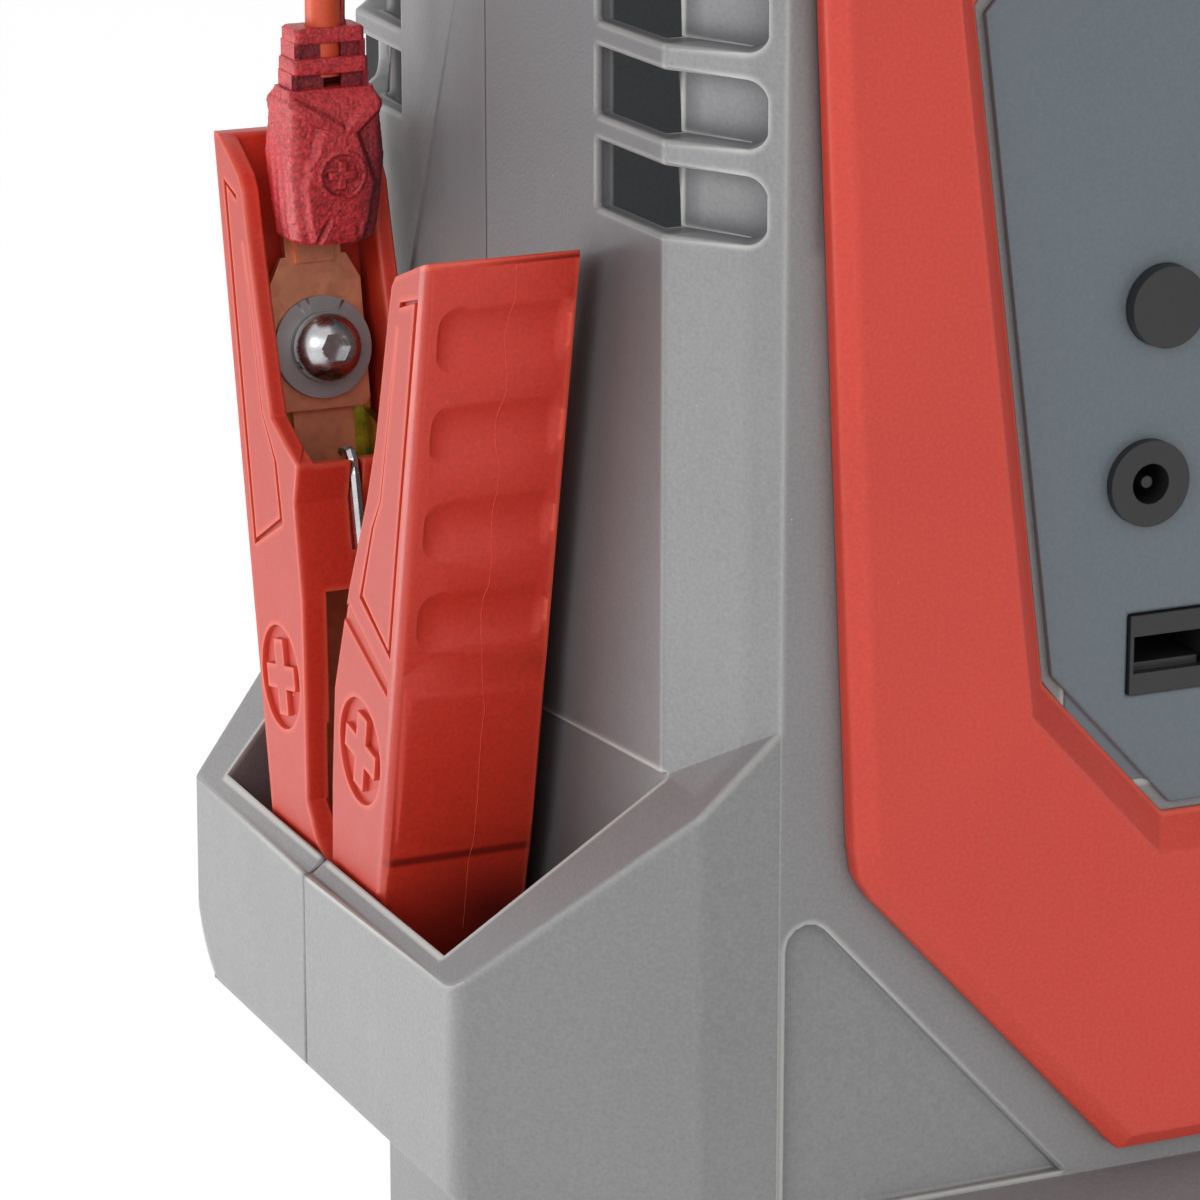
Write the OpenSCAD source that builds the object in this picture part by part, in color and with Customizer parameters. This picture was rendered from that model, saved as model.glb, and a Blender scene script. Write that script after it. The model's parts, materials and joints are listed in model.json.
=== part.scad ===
// Portable jump starter pack: an upright two-shell housing with a holster on
// each side, a spring clamp parked in each holster and its cable stored on the
// back. Millimetres, +Z up, front towards -Y, origin under the middle of the
// housing on the surface that the feet stand on.

/* [Housing] */
// Half width of the housing between the two holsters, at the seam
half_w = 115; // [112:0.5:118]
// Height of the housing's flat top
top_z = 300; // [298:1:304]
// Height of the housing's underside above the ground
base_z = 10; // [8:1:12]
// Distance of the front and the rear face from the seam
face_y = 75; // [74:0.5:77]
// Distance of the side's corner edges from the seam
corner_y = 58.6; // [56:0.2:60]
// How far each side draws in from the seam to its corner edge
side_draft = 2.2; // [1:0.1:3]
// Width of the corner facets, across the pack
facet_w = 11.2; // [9:0.2:13]
// Wall thickness of the two shells
wall = 3; // [2.4:0.1:3.4]
// Reveal between the two shells along the seam
seam_gap = 0.3; // [0.1:0.1:0.4]

/* [Holsters] */
// Half width of the pack at the outer wall of a holster
holster_x = 146.2; // [145:0.2:148]
// Height of the rim at the outer wall
rim_z = 128.3; // [126:0.1:130]
// Rise of the rim per millimetre towards the housing
rim_rise = 0.905; // [0.7:0.005:1]
// Length of the outer wall in front of the seam
holster_front = 55.9; // [54:0.1:58]
// Length of the outer wall behind the seam
holster_rear = 52.5; // [51:0.1:56]
// Height of the outer wall's lower edge
holster_low_z = 98; // [96:1:100]
// Thickness of the holster walls
holster_wall = 4; // [3:0.1:4.2]

/* [Cooling slots] */
// Number of slots on each corner
slot_count = 4; // [1:1:4]
// Height of the lowest slot's lower edge
slot_z = 237; // [230:0.5:238]
// Distance from one slot to the next
slot_pitch = 13.5; // [12:0.1:14]
// Height of a slot
slot_h = 9.8; // [7:0.1:10]
// Depth of the scoop beside each slot
scoop_d = 4; // [2:0.1:5]

/* [Front] */
// How far the red frame stands off the front face
frame_t = 5.4; // [4:0.1:6]
// Width of the bevel on the frame's outer edge
frame_bevel = 2.3; // [1:0.1:3]
// Width of the bevel on the frame's inner edge
inner_bevel = 6.5; // [3:0.1:8]
// Thickness of the control panel
panel_t = 2.5; // [2:0.1:3]
// Radius of the rotary switch knob
knob_r = 14; // [10:0.5:16]
// Radius of the push buttons
button_r = 6; // [5:0.1:7]
// Bore radius of the 12 volt outlet
outlet_r = 10.6; // [10:0.1:11]
// Height of the ledge over the work light
ledge_z = 92; // [88:1:93]
// How far the ledge stands off the front face
ledge_t = 9; // [6:0.5:9]

/* [Clamps] */
// Distance of a clamp's middle from the middle of the pack
clamp_x = 129.5; // [129:0.1:130]
// Distance of a clamp's pivot behind the seam
clamp_y = 2.5; // [1:0.1:4]
// Height of the pivot
pivot_z = 118; // [117:0.5:119]
// Half width of a clamp
clamp_hw = 12; // [11.5:0.1:12.2]
// Angle of each handle from the clamp's middle
splay = 11.2; // [9:0.1:12]
// Wall thickness of the handles
handle_wall = 2.8; // [2:0.1:3]
// Radius of the pivot pin
pin_r = 2.5; // [2:0.1:3]
// Half width of the jaws
jaw_hw = 5; // [3:0.1:5.2]
// Thickness of the copper plates
plate_t = 1.5; // [1:0.1:1.6]
// Radius of the terminal screw's head
screw_head_r = 5.25; // [4.5:0.05:5.4]
// Radius of the large washer
washer_r = 8; // [6:0.1:8.2]
// Radius of the jump lead
cable_r = 2.7; // [2.2:0.1:2.7]

/* [Carry handle] */
// Height of the top of the carry handle
grip_top = 352; // [350:1:360]
// Half width of the hand opening
hand_hw = 46; // [44:1:48]
// Thickness of the carry bar
bar_t = 21; // [18:1:22]

/* [Inside] */
// Width of the battery
battery_w = 181; // [150:1:181]
// Depth of the battery
battery_d = 77; // [60:1:77]
// Height of the battery
battery_h = 167; // [120:1:167]

/* [Hidden] */
$fn = 48;
grey = [0.42, 0.42, 0.43];
red = [0.76, 0.2, 0.16];
wine = [0.5, 0.08, 0.12];
black = [0.05, 0.05, 0.055];
copper = [0.62, 0.4, 0.28];
steel = [0.6, 0.6, 0.62];
zinc = [0.72, 0.66, 0.3];
panel_grey = [0.4, 0.45, 0.48];

// The corner facets run from the corner edge to the front and rear faces.
corner_x = half_w - side_draft;
facet_x = corner_x - facet_w;
// Cross-sections of the housing that both shells share
lean = (face_y - corner_y) / facet_w;
rear_bevel = 29;
front_bevel = 12;
shoulder = 12;
// Below the holsters the sides are set in.
low_w = 104.5;
low_bevel = 6;
// The bay in the back for the leads
bay_y = face_y - 11;
bay_hw = 94;
bay_z = 85;
// The battery stands on ribs; the bracket rests on its lid.
battery_z = 16;
battery_top = battery_z + battery_h;
bracket_z = battery_top - 4;
bracket_hole_z = bracket_z + 16;
sink_z = battery_top + 1;
// The holster's plan: the ends flare towards the housing.
flare = 0.61;
fold_x = 114;
rim_x = holster_x - 1.5;
inner_x = holster_x - holster_wall;
under_slope = 0.98;
end_wall = 2.8;
// The clamp's stack of plates, measured outwards from the clamp's middle
floor_y = 17;
liner_t = 1.2;
strip_y = floor_y - liner_t - plate_t;
lug_y = strip_y - plate_t;
flat_y = lug_y - 1.2;
split_y = flat_y - 1.6;
screw_z = 88.7;
boot_y = 29.5;
boot_z = 221;
jaw_tip = 27;
jaw_gap = 0.3;
// The clamp's spring: radius of the wire and of the coil, where the coil
// starts and where its rear leg runs, and how far each leg leans
wire_r = 0.95;
coil_r = 5;
coil_turns = 3;
coil_x0 = -3.4;
back_x = 2;
front_leg = 55;
front_lean = 19.67;
back_lean = 2.05;
// Route of each jump lead: the corners of its path and the bend at each
lead_start = 246;
lead_end = 200;
lead_path = [
  [clamp_x, boot_y, lead_start],
  [clamp_x, boot_y, 306],
  [83.5, boot_y, 306],
  [83.5, 69.5, 306],
  [83.5, 69.5, 94],
  [31.5, 69.5, 94],
  [31.5, 69.5, lead_end]
];
lead_bend = [0, 26, 20, 20, 26, 26, 0];

// ---- helpers ----
module both() {
  children();
  mirror([1, 0, 0]) children();
}
// a profile in Y and Z, from x0 to x1
module yz(x0, x1) {
  translate([x0, 0, 0]) rotate([90, 0, 90]) linear_extrude(x1 - x0) children();
}
// a profile in X and Z, from y0 to y1
module xz(y0, y1) {
  translate([0, y1, 0]) rotate([90, 0, 0]) linear_extrude(y1 - y0) children();
}
// a profile in X and Y, from z0 to z1
module xy(z0, z1) {
  translate([0, 0, z0]) linear_extrude(z1 - z0) children();
}
module box(x0, x1, y0, y1, z0, z1) {
  translate([x0, y0, z0]) cube([x1 - x0, y1 - y0, z1 - z0]);
}
module rod_x(x0, x1, y, z, r) {
  translate([x0, y, z]) rotate([0, 90, 0]) cylinder(h = x1 - x0, r = r);
}
module rod_y(x, y0, y1, z, r) {
  translate([x, y1, z]) rotate([90, 0, 0]) cylinder(h = y1 - y0, r = r);
}
module rod_z(x, y, z0, z1, r) {
  translate([x, y, z0]) cylinder(h = z1 - z0, r = r);
}
function arc(cx, cy, r, a0, a1, n) =
  [for (i = [0:n]) [cx + r * cos(a0 + (a1 - a0) * i / n), cy + r * sin(a0 + (a1 - a0) * i / n)]];

// ---- housing shells ----
// Half of the housing's plan, with the wall taken off
function plan_side(t) = [
  [half_w - t, 0],
  [corner_x - t, corner_y - 0.3 * t],
  [facet_x - 0.6 * t, face_y - t]
];
module plan_half(t, s) {
  side = [for (p = plan_side(t)) [p[0], s * p[1]]];
  polygon(concat(side, [for (i = [2:-1:0]) [-side[i][0], side[i][1]]]));
}
module front_view(t) {
  w = half_w - t + 1;
  low = low_w - t;
  right = [
    [low - low_bevel, base_z + t], [low, base_z + low_bevel + t], [low, under_at(low) + 1.4 * t],
    [w, under_at(w) + 1.4 * t], [w, top_z - shoulder], [w - shoulder, top_z - t]
  ];
  polygon(concat(right, [for (i = [5:-1:0]) [-right[i][0], right[i][1]]]));
}
module side_view(t) {
  polygon([
    [-face_y + 8, base_z + t], [-face_y - 1 + t, base_z + 9],
    [-face_y - 1 + t, top_z - front_bevel], [-face_y + front_bevel, top_z - t],
    [face_y - rear_bevel, top_z - t], [face_y + 1 - t, top_z - rear_bevel - 1],
    [face_y + 1 - t, base_z + 9], [face_y - 8, base_z + t]
  ]);
}
module body_core(t, s) {
  intersection() {
    xy(base_z + t, top_z - t) plan_half(t, s);
    xz(-face_y - 2, face_y + 2) front_view(t);
    yz(-half_w - 2, half_w + 2) side_view(t);
  }
}
// One holster on the +X side; s is -1 for the front half
module holster_plan(s, length) {
  out = length + flare * (rim_x - fold_x);
  pts = [
    [holster_x, 0], [rim_x, length], [fold_x, min(out, face_y)],
    [facet_x - 6, face_y], [facet_x - 6, 0]
  ];
  polygon([for (p = pts) [p[0], s * p[1]]]);
}
function rim_at(x) = rim_z + rim_rise * (rim_x - x);
function under_at(x) = holster_low_z - under_slope * (holster_x + 0.8 - x);
// Side outline of a holster's rear end, whose lower corner is rounded; t is taken off it.
module rear_end(t) {
  polygon(concat(
    [[-1, 200], [-1, 40], [holster_rear - 30 - 1.1 * t, 40]],
    arc(holster_rear - 17, holster_low_z + 14, 18 - t, -60, 0, 12),
    [[holster_rear + 1 - t, 126 + 0.4 * t], [face_y + 2, 150 + 1.4 * t], [face_y + 2, 200]]
  ));
}
module front_end() polygon([[-face_y - 2, 40], [1, 40], [1, 200], [-face_y - 2, 200]]);
module holster_solid(s, length) {
  intersection() {
    xy(50, 175) holster_plan(s, length);
    xz(-face_y - 1, face_y + 1) polygon([
      [holster_x + 0.8, holster_low_z], [holster_x + 0.8, rim_z], [rim_x, rim_z],
      [facet_x, rim_at(facet_x)], [facet_x - 6, rim_at(facet_x)],
      [facet_x - 6, under_at(facet_x - 6)]
    ]);
    yz(0, holster_x + 1) if (s < 0) front_end(); else rear_end(0);
  }
}
module holster_hollow(s) {
  len_in = (s < 0 ? holster_front : holster_rear) - 8.5;
  side_in = corner_x - 0.6;
  pts = [
    [inner_x, -1], [inner_x, len_in], [side_in, len_in + 0.42 * (inner_x - side_in)],
    [half_w, 0], [half_w, -1]
  ];
  intersection() {
    xy(60, 190) polygon([for (p = pts) [p[0], s * p[1]]]);
    xz(-face_y, face_y) polygon([
      [inner_x, holster_low_z - 0.6], [inner_x, rim_at(inner_x) + 0.4], [side_in - 1, rim_at(side_in - 1) + 0.4],
      [side_in - 1, under_at(side_in) + 4.2]
    ]);
    yz(0, holster_x + 1) if (s < 0) front_end(); else rear_end(end_wall);
  }
}
// One cooling slot on the front corner of the +X side
module cooling_slot(z) {
  ang = atan(lean);
  box(half_w - 14, half_w + 5, -54.5, -37.5, z, z + slot_h);
  intersection() {
    xy(z, z + slot_h) polygon([
      [half_w + 5, -54.4], [corner_x + 3.9 - 2 * scoop_d, -54.4], [facet_x + 2.1 - scoop_d, -69],
      [facet_x + 0.9, -71.2], [facet_x + 8, -82], [half_w + 5, -82]
    ]);
    union() {
      box(half_w - 16, half_w + 6, -62, -50, z, z + slot_h);
      translate([facet_x + 0.8, -71.4, z]) rotate([0, 0, 90 - ang])
        translate([0, -12, 0]) {
          box(3.5, 22, 0, 24, 0, slot_h);
          box(0, 22, 0, 24, 3.5, slot_h - 3.5);
          rod_y(3.5, 0, 24, 3.5, 3.5);
          rod_y(3.5, 0, 24, slot_h - 3.5, 3.5);
        }
    }
  }
}
module cooling_slots(s) {
  for (i = [0:slot_count - (s > 0 ? 2 : 1)])
    mirror([0, s > 0 ? 1 : 0, 0]) cooling_slot(slot_z + i * slot_pitch);
}
// Thickened corner behind the scoops
module slot_backing(s) {
  pts = [
    [corner_x - 1, 54.6], [corner_x - 6.5, 54.6], [facet_x - 8, 70], [facet_x - 8, face_y - 1],
    [facet_x - 1, face_y - 0.5], [corner_x - 0.5, corner_y]
  ];
  xy(slot_z - 6, top_z - shoulder - 1) polygon([for (p = pts) [p[0], s * p[1]]]);
}
// The carry handle's loop, split between the shells
module carry_loop(y0, y1) {
  xz(y0, y1) difference() {
    polygon([
      [-76, top_z - 4], [-60, grip_top - 8], [-52, grip_top], [52, grip_top],
      [60, grip_top - 8], [76, top_z - 4]
    ]);
    polygon([
      [-hand_hw - 6, top_z], [-hand_hw, grip_top - bar_t - 4], [-hand_hw + 4, grip_top - bar_t],
      [hand_hw - 4, grip_top - bar_t], [hand_hw, grip_top - bar_t - 4], [hand_hw + 6, top_z]
    ]);
  }
}
// Screw posts, also used by the screws; the lowest pair stands beside the battery
post_r = 5.5;
posts = [[battery_w / 2 + post_r + 1, 26], [68, 205], [68, 277]];

module front_housing() color(grey) {
  difference() {
    union() {
      difference() {
        union() {
          body_core(0, -1);
          both() holster_solid(-1, holster_front);
          carry_loop(-13, -seam_gap / 2);
          // ledge over the work light
          yz(-86, 86) polygon([
            [-face_y + 1, ledge_z], [-face_y - ledge_t, ledge_z - 6],
            [-face_y - ledge_t, 34], [-face_y + 1, 24]
          ]);
        }
        body_core(wall, -1);
        box(-200, 200, -seam_gap / 2, 5, 0, 400);
      }
      // screw posts and ribs for the battery
      for (p = posts) both() rod_y(p[0], -face_y + wall - 0.5, 0, p[1], post_r);
      both() slot_backing(-1);
      both() box(57, 60, -face_y + 1, -battery_d / 2, 13, 70);
      both() box(57, 60, -battery_d / 2 - 1, -20, 12, battery_z);
      // ring behind the lamp
      box(-56, 56, -face_y + 1, -face_y + 5, 40, 84);
    }
    both() holster_hollow(-1);
    both() cooling_slots(-1);
    for (p = posts) both() rod_y(p[0], -20, 1, p[1], 1.9);
    // window behind the control panel
    box(-56, 56, -face_y - 1, -face_y + 9, 152, 276);
    // lamp opening
    box(-50, 50, -face_y - ledge_t - 1, -face_y + 6, 44, 80);
    box(-52, 52, -face_y - ledge_t - 1, -face_y - ledge_t + 2, 42, 82);
    // triangular relief under the frame
    both() xz(-face_y - 1, -face_y + 1.5) polygon(concat(
      [[100.6, 62], [100.6, 133]],
      arc(97, 134, 3.6, 0, 138, 5),
      [[54.3, 92.2], [86.5, 92.2], [86.5, 62]]
    ));
    // flat bed where the rubber grip sits
    box(-41, 41, -20, 1, grip_top - bar_t - 1, grip_top - bar_t + 1.5);
    box(-41, 41, -20, 1, grip_top - 1.5, grip_top + 1);
    box(-41, 41, -20, -11.5, grip_top - bar_t - 1, grip_top + 1);
  }
}
module rear_housing() color(grey) {
  difference() {
    union() {
      difference() {
        union() {
          body_core(0, 1);
          both() holster_solid(1, holster_rear);
          carry_loop(seam_gap / 2, 13);
        }
        difference() {
          body_core(wall, 1);
          box(-bay_hw - wall, bay_hw + wall, bay_y - wall, face_y, bay_z - wall, 400);
        }
        box(-bay_hw, bay_hw, bay_y, face_y + 5, bay_z, 400);
        box(-200, 200, -5, seam_gap / 2, 0, 400);
      }
      for (p = posts) both() rod_y(p[0], 0, (p[0] > bay_hw ? face_y : bay_y) - 1, p[1], post_r);
      both() intersection() {
        slot_backing(1);
        yz(0, 200) side_view(0);
      }
      both() box(57, 60, battery_d / 2, bay_y - 1, 13, 70);
      both() box(57, 60, 20, battery_d / 2 + 1, 12, battery_z);
      // pads that carry the battery bracket
      both() rod_y(40, bay_y - wall - 3, bay_y - 1, bracket_hole_z, 5);
      // bosses that hold the lead glands
      both() yz(24, 39) polygon([[bay_y - 1, 204], [77, 204], [77, 220], [66, 238], [bay_y - 1, 238]]);
      // rest in each holster for the parked jaw
      both() xz(clamp_y + 0.6, 12) polygon([
        [clamp_x - 5.5, pivot_z - jaw_tip], [clamp_x - 5.5, under_at(clamp_x - 5.5) + 1],
        [clamp_x + 5.5, under_at(clamp_x + 5.5) + 1], [clamp_x + 5.5, pivot_z - jaw_tip]
      ]);
    }
    both() holster_hollow_rear();
    both() cooling_slots(1);
    for (p = posts) both() {
      rod_y(p[0], -1, 14, p[1], 2.2);
      rod_y(p[0], 13, face_y + 2, p[1], 4);
    }
    both() rod_y(40, bay_y - wall - 4, bay_y - 1, bracket_hole_z, 1.9);
    both() rod_z(31.5, 69.5, 200, 220, 5.05);
    box(-41, 41, -1, 20, grip_top - bar_t - 1, grip_top - bar_t + 1.5);
    box(-41, 41, -1, 20, grip_top - 1.5, grip_top + 1);
    box(-41, 41, 11.5, 20, grip_top - bar_t - 1, grip_top + 1);
  }
}
// The rear hollow leaves the jaw rest standing.
module holster_hollow_rear() {
  difference() {
    holster_hollow(1);
    box(clamp_x - 5.5, clamp_x + 5.5, clamp_y + 0.6, 12, 70, pivot_z - jaw_tip);
  }
}

// ---- front frame and control panel ----
frame_outline = concat(
  [[97.9, 278], [94, 284], [88, 287]], [[-88, 287], [-94, 284], [-97.9, 278]],
  [[-94.3, 208], [-91.8, 163], [-91.4, 149], [-90.6, 144.5], [-88.4, 141], [-46.5, 95.5]],
  [[46.5, 95.5], [88.4, 141], [90.6, 144.5], [91.4, 149], [91.8, 163], [94.3, 208]]
);
frame_open = [[78.3, 274], [74, 279], [-74, 279], [-78.3, 274], [-64, 166], [-42, 142], [42, 142], [64, 166]];
function shrink(pts, d, cz) = [for (p = pts) [p[0] * (1 - d / 80), cz + (p[1] - cz) * (1 - d / 72)]];
module front_frame() color(red) {
  difference() {
    hull() {
      xz(-face_y - frame_t + frame_bevel, -face_y) polygon(frame_outline);
      xz(-face_y - frame_t, -face_y) polygon(shrink(frame_outline, frame_bevel, 191));
    }
    hull() {
      xz(-face_y - frame_t - 1, -face_y - frame_t) polygon(frame_open);
      xz(-face_y - 0.9, -face_y + 1) polygon(shrink(frame_open, inner_bevel, 211));
    }
  }
}
panel_face = -face_y - 1;
panel_back = panel_face + panel_t;
stack_y = -50;
knob_z = 204;
button_z = 224;
outlet_x = 24;
outlet_z = 172;
board_posts = [[50, 266], [50, 160]];
module control_panel() color(panel_grey) {
  difference() {
    union() {
      // plate inside the frame, and the flange that fits the housing's window
      xz(panel_face, -face_y) polygon(shrink(frame_open, inner_bevel + 0.3, 211));
      box(-55.9, 55.9, -face_y, panel_back, 152.1, 275.9);
      for (p = board_posts) both() rod_y(p[0], panel_back - 0.5, stack_y, p[1], 3.4);
      // ears of the outlet cap's hinge
      for (s = [-1, 1])
        yz(outlet_x + s * 6.8 - 1.4, outlet_x + s * 6.8 + 1.4)
          polygon([[panel_face + 0.5, 187], [-79.6, 187.6], [-80.9, 189], [-80.9, 191], [-79.6, 192.4], [panel_face + 0.5, 193]]);
    }
    for (p = board_posts) both() rod_y(p[0], stack_y - 8, stack_y + 1, p[1], 1.3);
    box(-32.1, 32.1, panel_face - 1, panel_back + 1, 239.9, 268.1);
    for (s = [-1, 1]) rod_y(s * 42, panel_face - 1, panel_back + 1, button_z, button_r + 0.06);
    rod_y(0, panel_face - 1, panel_back + 1, knob_z, 3.05);
    rod_y(outlet_x, panel_face - 1, panel_back + 1, outlet_z, 13);
    box(-46.1, -17.9, panel_face - 1, panel_back + 1, 165.9, 178.1);
    rod_y(-44, panel_face - 1, panel_back + 1, 198, 5);
    rod_x(outlet_x - 9, outlet_x + 9, -78.8, 190, 1.2);
  }
}
module display_window() color([0.08, 0.1, 0.12]) {
  difference() {
    box(-32, 32, panel_face - 0.8, panel_back, 240, 268);
    box(-29, 29, panel_face + 1, panel_back + 1, 243, 265);
  }
}
module display_board() color([0.1, 0.3, 0.15]) {
  box(-31, 31, panel_back, panel_back + 1.6, 241, 267);
  box(-28, 28, panel_face + 1.6, panel_back + 0.2, 244, 264);
  box(-20, 20, panel_back + 1.4, stack_y, 250, 258);
}
module power_knob() color(black) {
  difference() {
    union() {
      rod_y(0, panel_face - 2.2, panel_face - 0.2, knob_z, knob_r);
      rod_y(0, panel_face - 7.6, panel_face - 2, knob_z, knob_r - 1.6);
      box(-2.6, 2.6, panel_face - 8, panel_face - 2, knob_z - knob_r + 2.4, knob_z + knob_r - 2.4);
      rod_y(0, panel_face - 1, -53, knob_z, 3);
    }
    for (i = [0:11]) rotate_about_knob(i * 30)
      rod_y(knob_r - 0.6, panel_face - 9, panel_face - 2.4, knob_z, 1.6);
    rod_y(0, panel_face - 9, panel_face - 7.2, knob_z + 8.4, 1);
  }
}
module rotate_about_knob(a) {
  translate([0, 0, knob_z]) rotate([0, a, 0]) translate([0, 0, -knob_z]) children();
}
module switch_body() color(black) {
  difference() {
    union() {
      box(-9, 9, -64, stack_y, knob_z - 9, knob_z + 9);
      rod_y(0, -67, -63, knob_z, 5);
    }
    rod_y(0, -68, -52.5, knob_z, 3.05);
  }
}
module push_button(x) {
  rod_y(x, panel_face - 2.2, panel_back + 0.2, button_z, button_r);
  rod_y(x, panel_back + 0.1, panel_back + 1.6, button_z, button_r + 1.4);
  rod_y(x, panel_back + 1.5, -68.2, button_z, 2);
}
module test_button() color(black) push_button(-42);
module light_button() color(black) push_button(42);
module tact_switches() color(black) {
  both() {
    box(37, 47, -60, stack_y, button_z - 5, button_z + 5);
    rod_y(42, -66.4, -59.5, button_z, 2.4);
  }
}
module main_board() color([0.08, 0.28, 0.14]) {
  difference() {
    union() {
      box(-58, 58, stack_y, stack_y + 1.6, 155, 272);
      // relay, inductor, capacitors and the heat sink
      box(-50, -24, stack_y + 1.5, stack_y + 20, 236, 262);
      both() rod_y(12, stack_y + 1.5, stack_y + 18, 232, 6);
      rod_y(40, stack_y + 1.5, stack_y + 12, 245, 9);
      box(-30, 30, stack_y + 1.5, stack_y + 9, sink_z, sink_z + 16);
      for (i = [0:5]) box(-28 + i * 11, -25.5 + i * 11, stack_y + 8.5, stack_y + 15, sink_z, sink_z + 16);
    }
    for (p = board_posts) both() rod_y(p[0], stack_y - 1, stack_y + 3, p[1], 1.6);
  }
}
module board_screws() color(steel) {
  for (p = board_posts) both() {
    rod_y(p[0], stack_y + 1.6, stack_y + 3.2, p[1], 2.8);
    rod_y(p[0], stack_y - 6, stack_y + 1.8, p[1], 1.25);
  }
}
module usb_ports() color([0.12, 0.12, 0.13]) {
  difference() {
    box(-46, -18, panel_face - 0.6, stack_y, 166, 178);
    for (x = [-39.2, -24.8]) box(x - 6.2, x + 6.2, panel_face - 1, -62, 169.2, 174.8);
  }
  for (x = [-39.2, -24.8]) box(x - 5.4, x + 5.4, panel_face + 1, -61, 169, 170.4);
}
module outlet_12v() color(black) {
  difference() {
    union() {
      rod_y(outlet_x, panel_back - 2, stack_y, outlet_z, 12.9);
      rod_y(outlet_x, panel_back + 0.05, panel_back + 3, outlet_z, 15);
    }
    rod_y(outlet_x, panel_face - 1, stack_y - 3, outlet_z, outlet_r);
  }
  rod_y(outlet_x, -56, -52.5, outlet_z, 2.2);
}
module outlet_cap() color(black) {
  difference() {
    union() {
      rod_y(outlet_x, panel_face - 2.8, panel_face - 0.3, outlet_z, 14.6);
      box(outlet_x - 5, outlet_x + 5, panel_face - 2.8, panel_face - 0.9, outlet_z + 8, 190);
      rod_x(outlet_x - 5, outlet_x + 5, -78.8, 190, 2.1);
      box(outlet_x - 6, outlet_x + 6, panel_face - 3.8, panel_face - 2.6, outlet_z - 13.5, outlet_z - 11);
    }
    rod_x(outlet_x - 6, outlet_x + 6, -78.8, 190, 1.25);
  }
}
module cap_hinge_pin() color(steel) rod_x(outlet_x - 8.2, outlet_x + 8.2, -78.8, 190, 1.2);
module charge_inlet() color(black) {
  difference() {
    union() {
      rod_y(-44, panel_face - 0.8, stack_y, 198, 4.95);
      rod_y(-44, panel_face - 1.6, panel_face, 198, 6.4);
    }
    rod_y(-44, panel_face - 3, -64, 198, 3);
  }
  rod_y(-44, panel_face - 0.4, -63, 198, 0.9);
}

// ---- work light ----
lamp_front = -face_y - ledge_t;
module lamp_lens() color([0.8, 0.85, 0.88]) {
  difference() {
    box(-51.9, 51.9, lamp_front, lamp_front + 2, 42.1, 81.9);
    for (i = [-4:4]) box(i * 11 - 1, i * 11 + 1, lamp_front - 1, lamp_front + 0.5, 46, 78);
  }
}
module lamp_reflector() color([0.85, 0.85, 0.86]) {
  difference() {
    box(-49.9, 49.9, lamp_front + 2, -face_y + 6, 44.1, 79.9);
    for (i = [-2:2]) translate([i * 19, -face_y + 4.5, 62]) rotate([90, 0, 0])
      cylinder(h = 14, r1 = 4, r2 = 9);
    for (i = [-2:2]) rod_y(i * 19, -face_y + 4, -face_y + 7, 62, 4);
  }
}
module lamp_board() color([0.85, 0.86, 0.84]) {
  box(-49, 49, -face_y + 6, -face_y + 7.6, 45, 79);
  for (i = [-2:2]) box(i * 19 - 2.5, i * 19 + 2.5, -face_y + 4.6, -face_y + 6.1, 59.5, 64.5);
}

// ---- carry grip, feet, bumpers and fasteners ----
module handle_grip() color(black) {
  difference() {
    intersection() {
      box(-40.9, 40.9, -14.5, 14.5, grip_top - bar_t - 1.5, grip_top + 1.5);
      yz(-50, 50) polygon(concat(
        arc(9.5, grip_top - 3.5, 5, 0, 90, 5), arc(-9.5, grip_top - 3.5, 5, 90, 180, 5),
        arc(-9.5, grip_top - bar_t + 3.5, 5, 180, 270, 5), arc(9.5, grip_top - bar_t + 3.5, 5, 270, 360, 5)
      ));
    }
    box(-50, 50, -11.5, 11.5, grip_top - bar_t + 1.5, grip_top - 1.5);
    for (i = [-5:5]) both_sides_y() box(i * 7 - 1, i * 7 + 1, 13.7, 16, grip_top - bar_t, grip_top);
  }
}
module both_sides_y() {
  children();
  mirror([0, 1, 0]) children();
}
module feet() color(black) {
  both() both_sides_y() {
    rod_z(84, 48, 0, base_z, 12);
    rod_z(84, 48, 0.6, base_z, 13);
  }
}
module rear_bumpers() color(black) {
  both() {
    rod_y(78, face_y, face_y + 9, 50, 10);
    box(95, 101, face_y, face_y + 9, 205, 262);
  }
}
module housing_screws() color(steel) {
  for (p = posts) both() {
    rod_y(p[0], 13, 16, p[1], 3.8);
    rod_y(p[0], -14, 13.5, p[1], 1.85);
  }
}
module battery() color([0.12, 0.12, 0.14]) {
  bx = battery_w / 2;
  box(-bx, bx, -battery_d / 2, battery_d / 2, battery_z, battery_top - 6);
  box(-bx + 3, bx - 3, -battery_d / 2 + 3, battery_d / 2 - 3, battery_z, battery_top - 4);
  both() box(bx - 20, bx - 7, -24, -11, battery_z, battery_top);
}
module battery_bracket() color(steel) {
  difference() {
    union() {
      box(-55, 55, -battery_d / 2 + 12, bay_y - wall - 3, bracket_z, bracket_z + 2);
      box(-55, 55, bay_y - wall - 5, bay_y - wall - 3, bracket_z, bracket_hole_z + 8);
    }
    both() rod_y(40, bay_y - wall - 6, bay_y - wall, bracket_hole_z, 2.1);
  }
}
module bracket_screws() color(steel) {
  both() {
    rod_y(40, bay_y - wall - 8, bay_y - wall - 5, bracket_hole_z, 3.6);
    rod_y(40, bay_y - wall - 5.5, bay_y - 2, bracket_hole_z, 1.85);
  }
}

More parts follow.
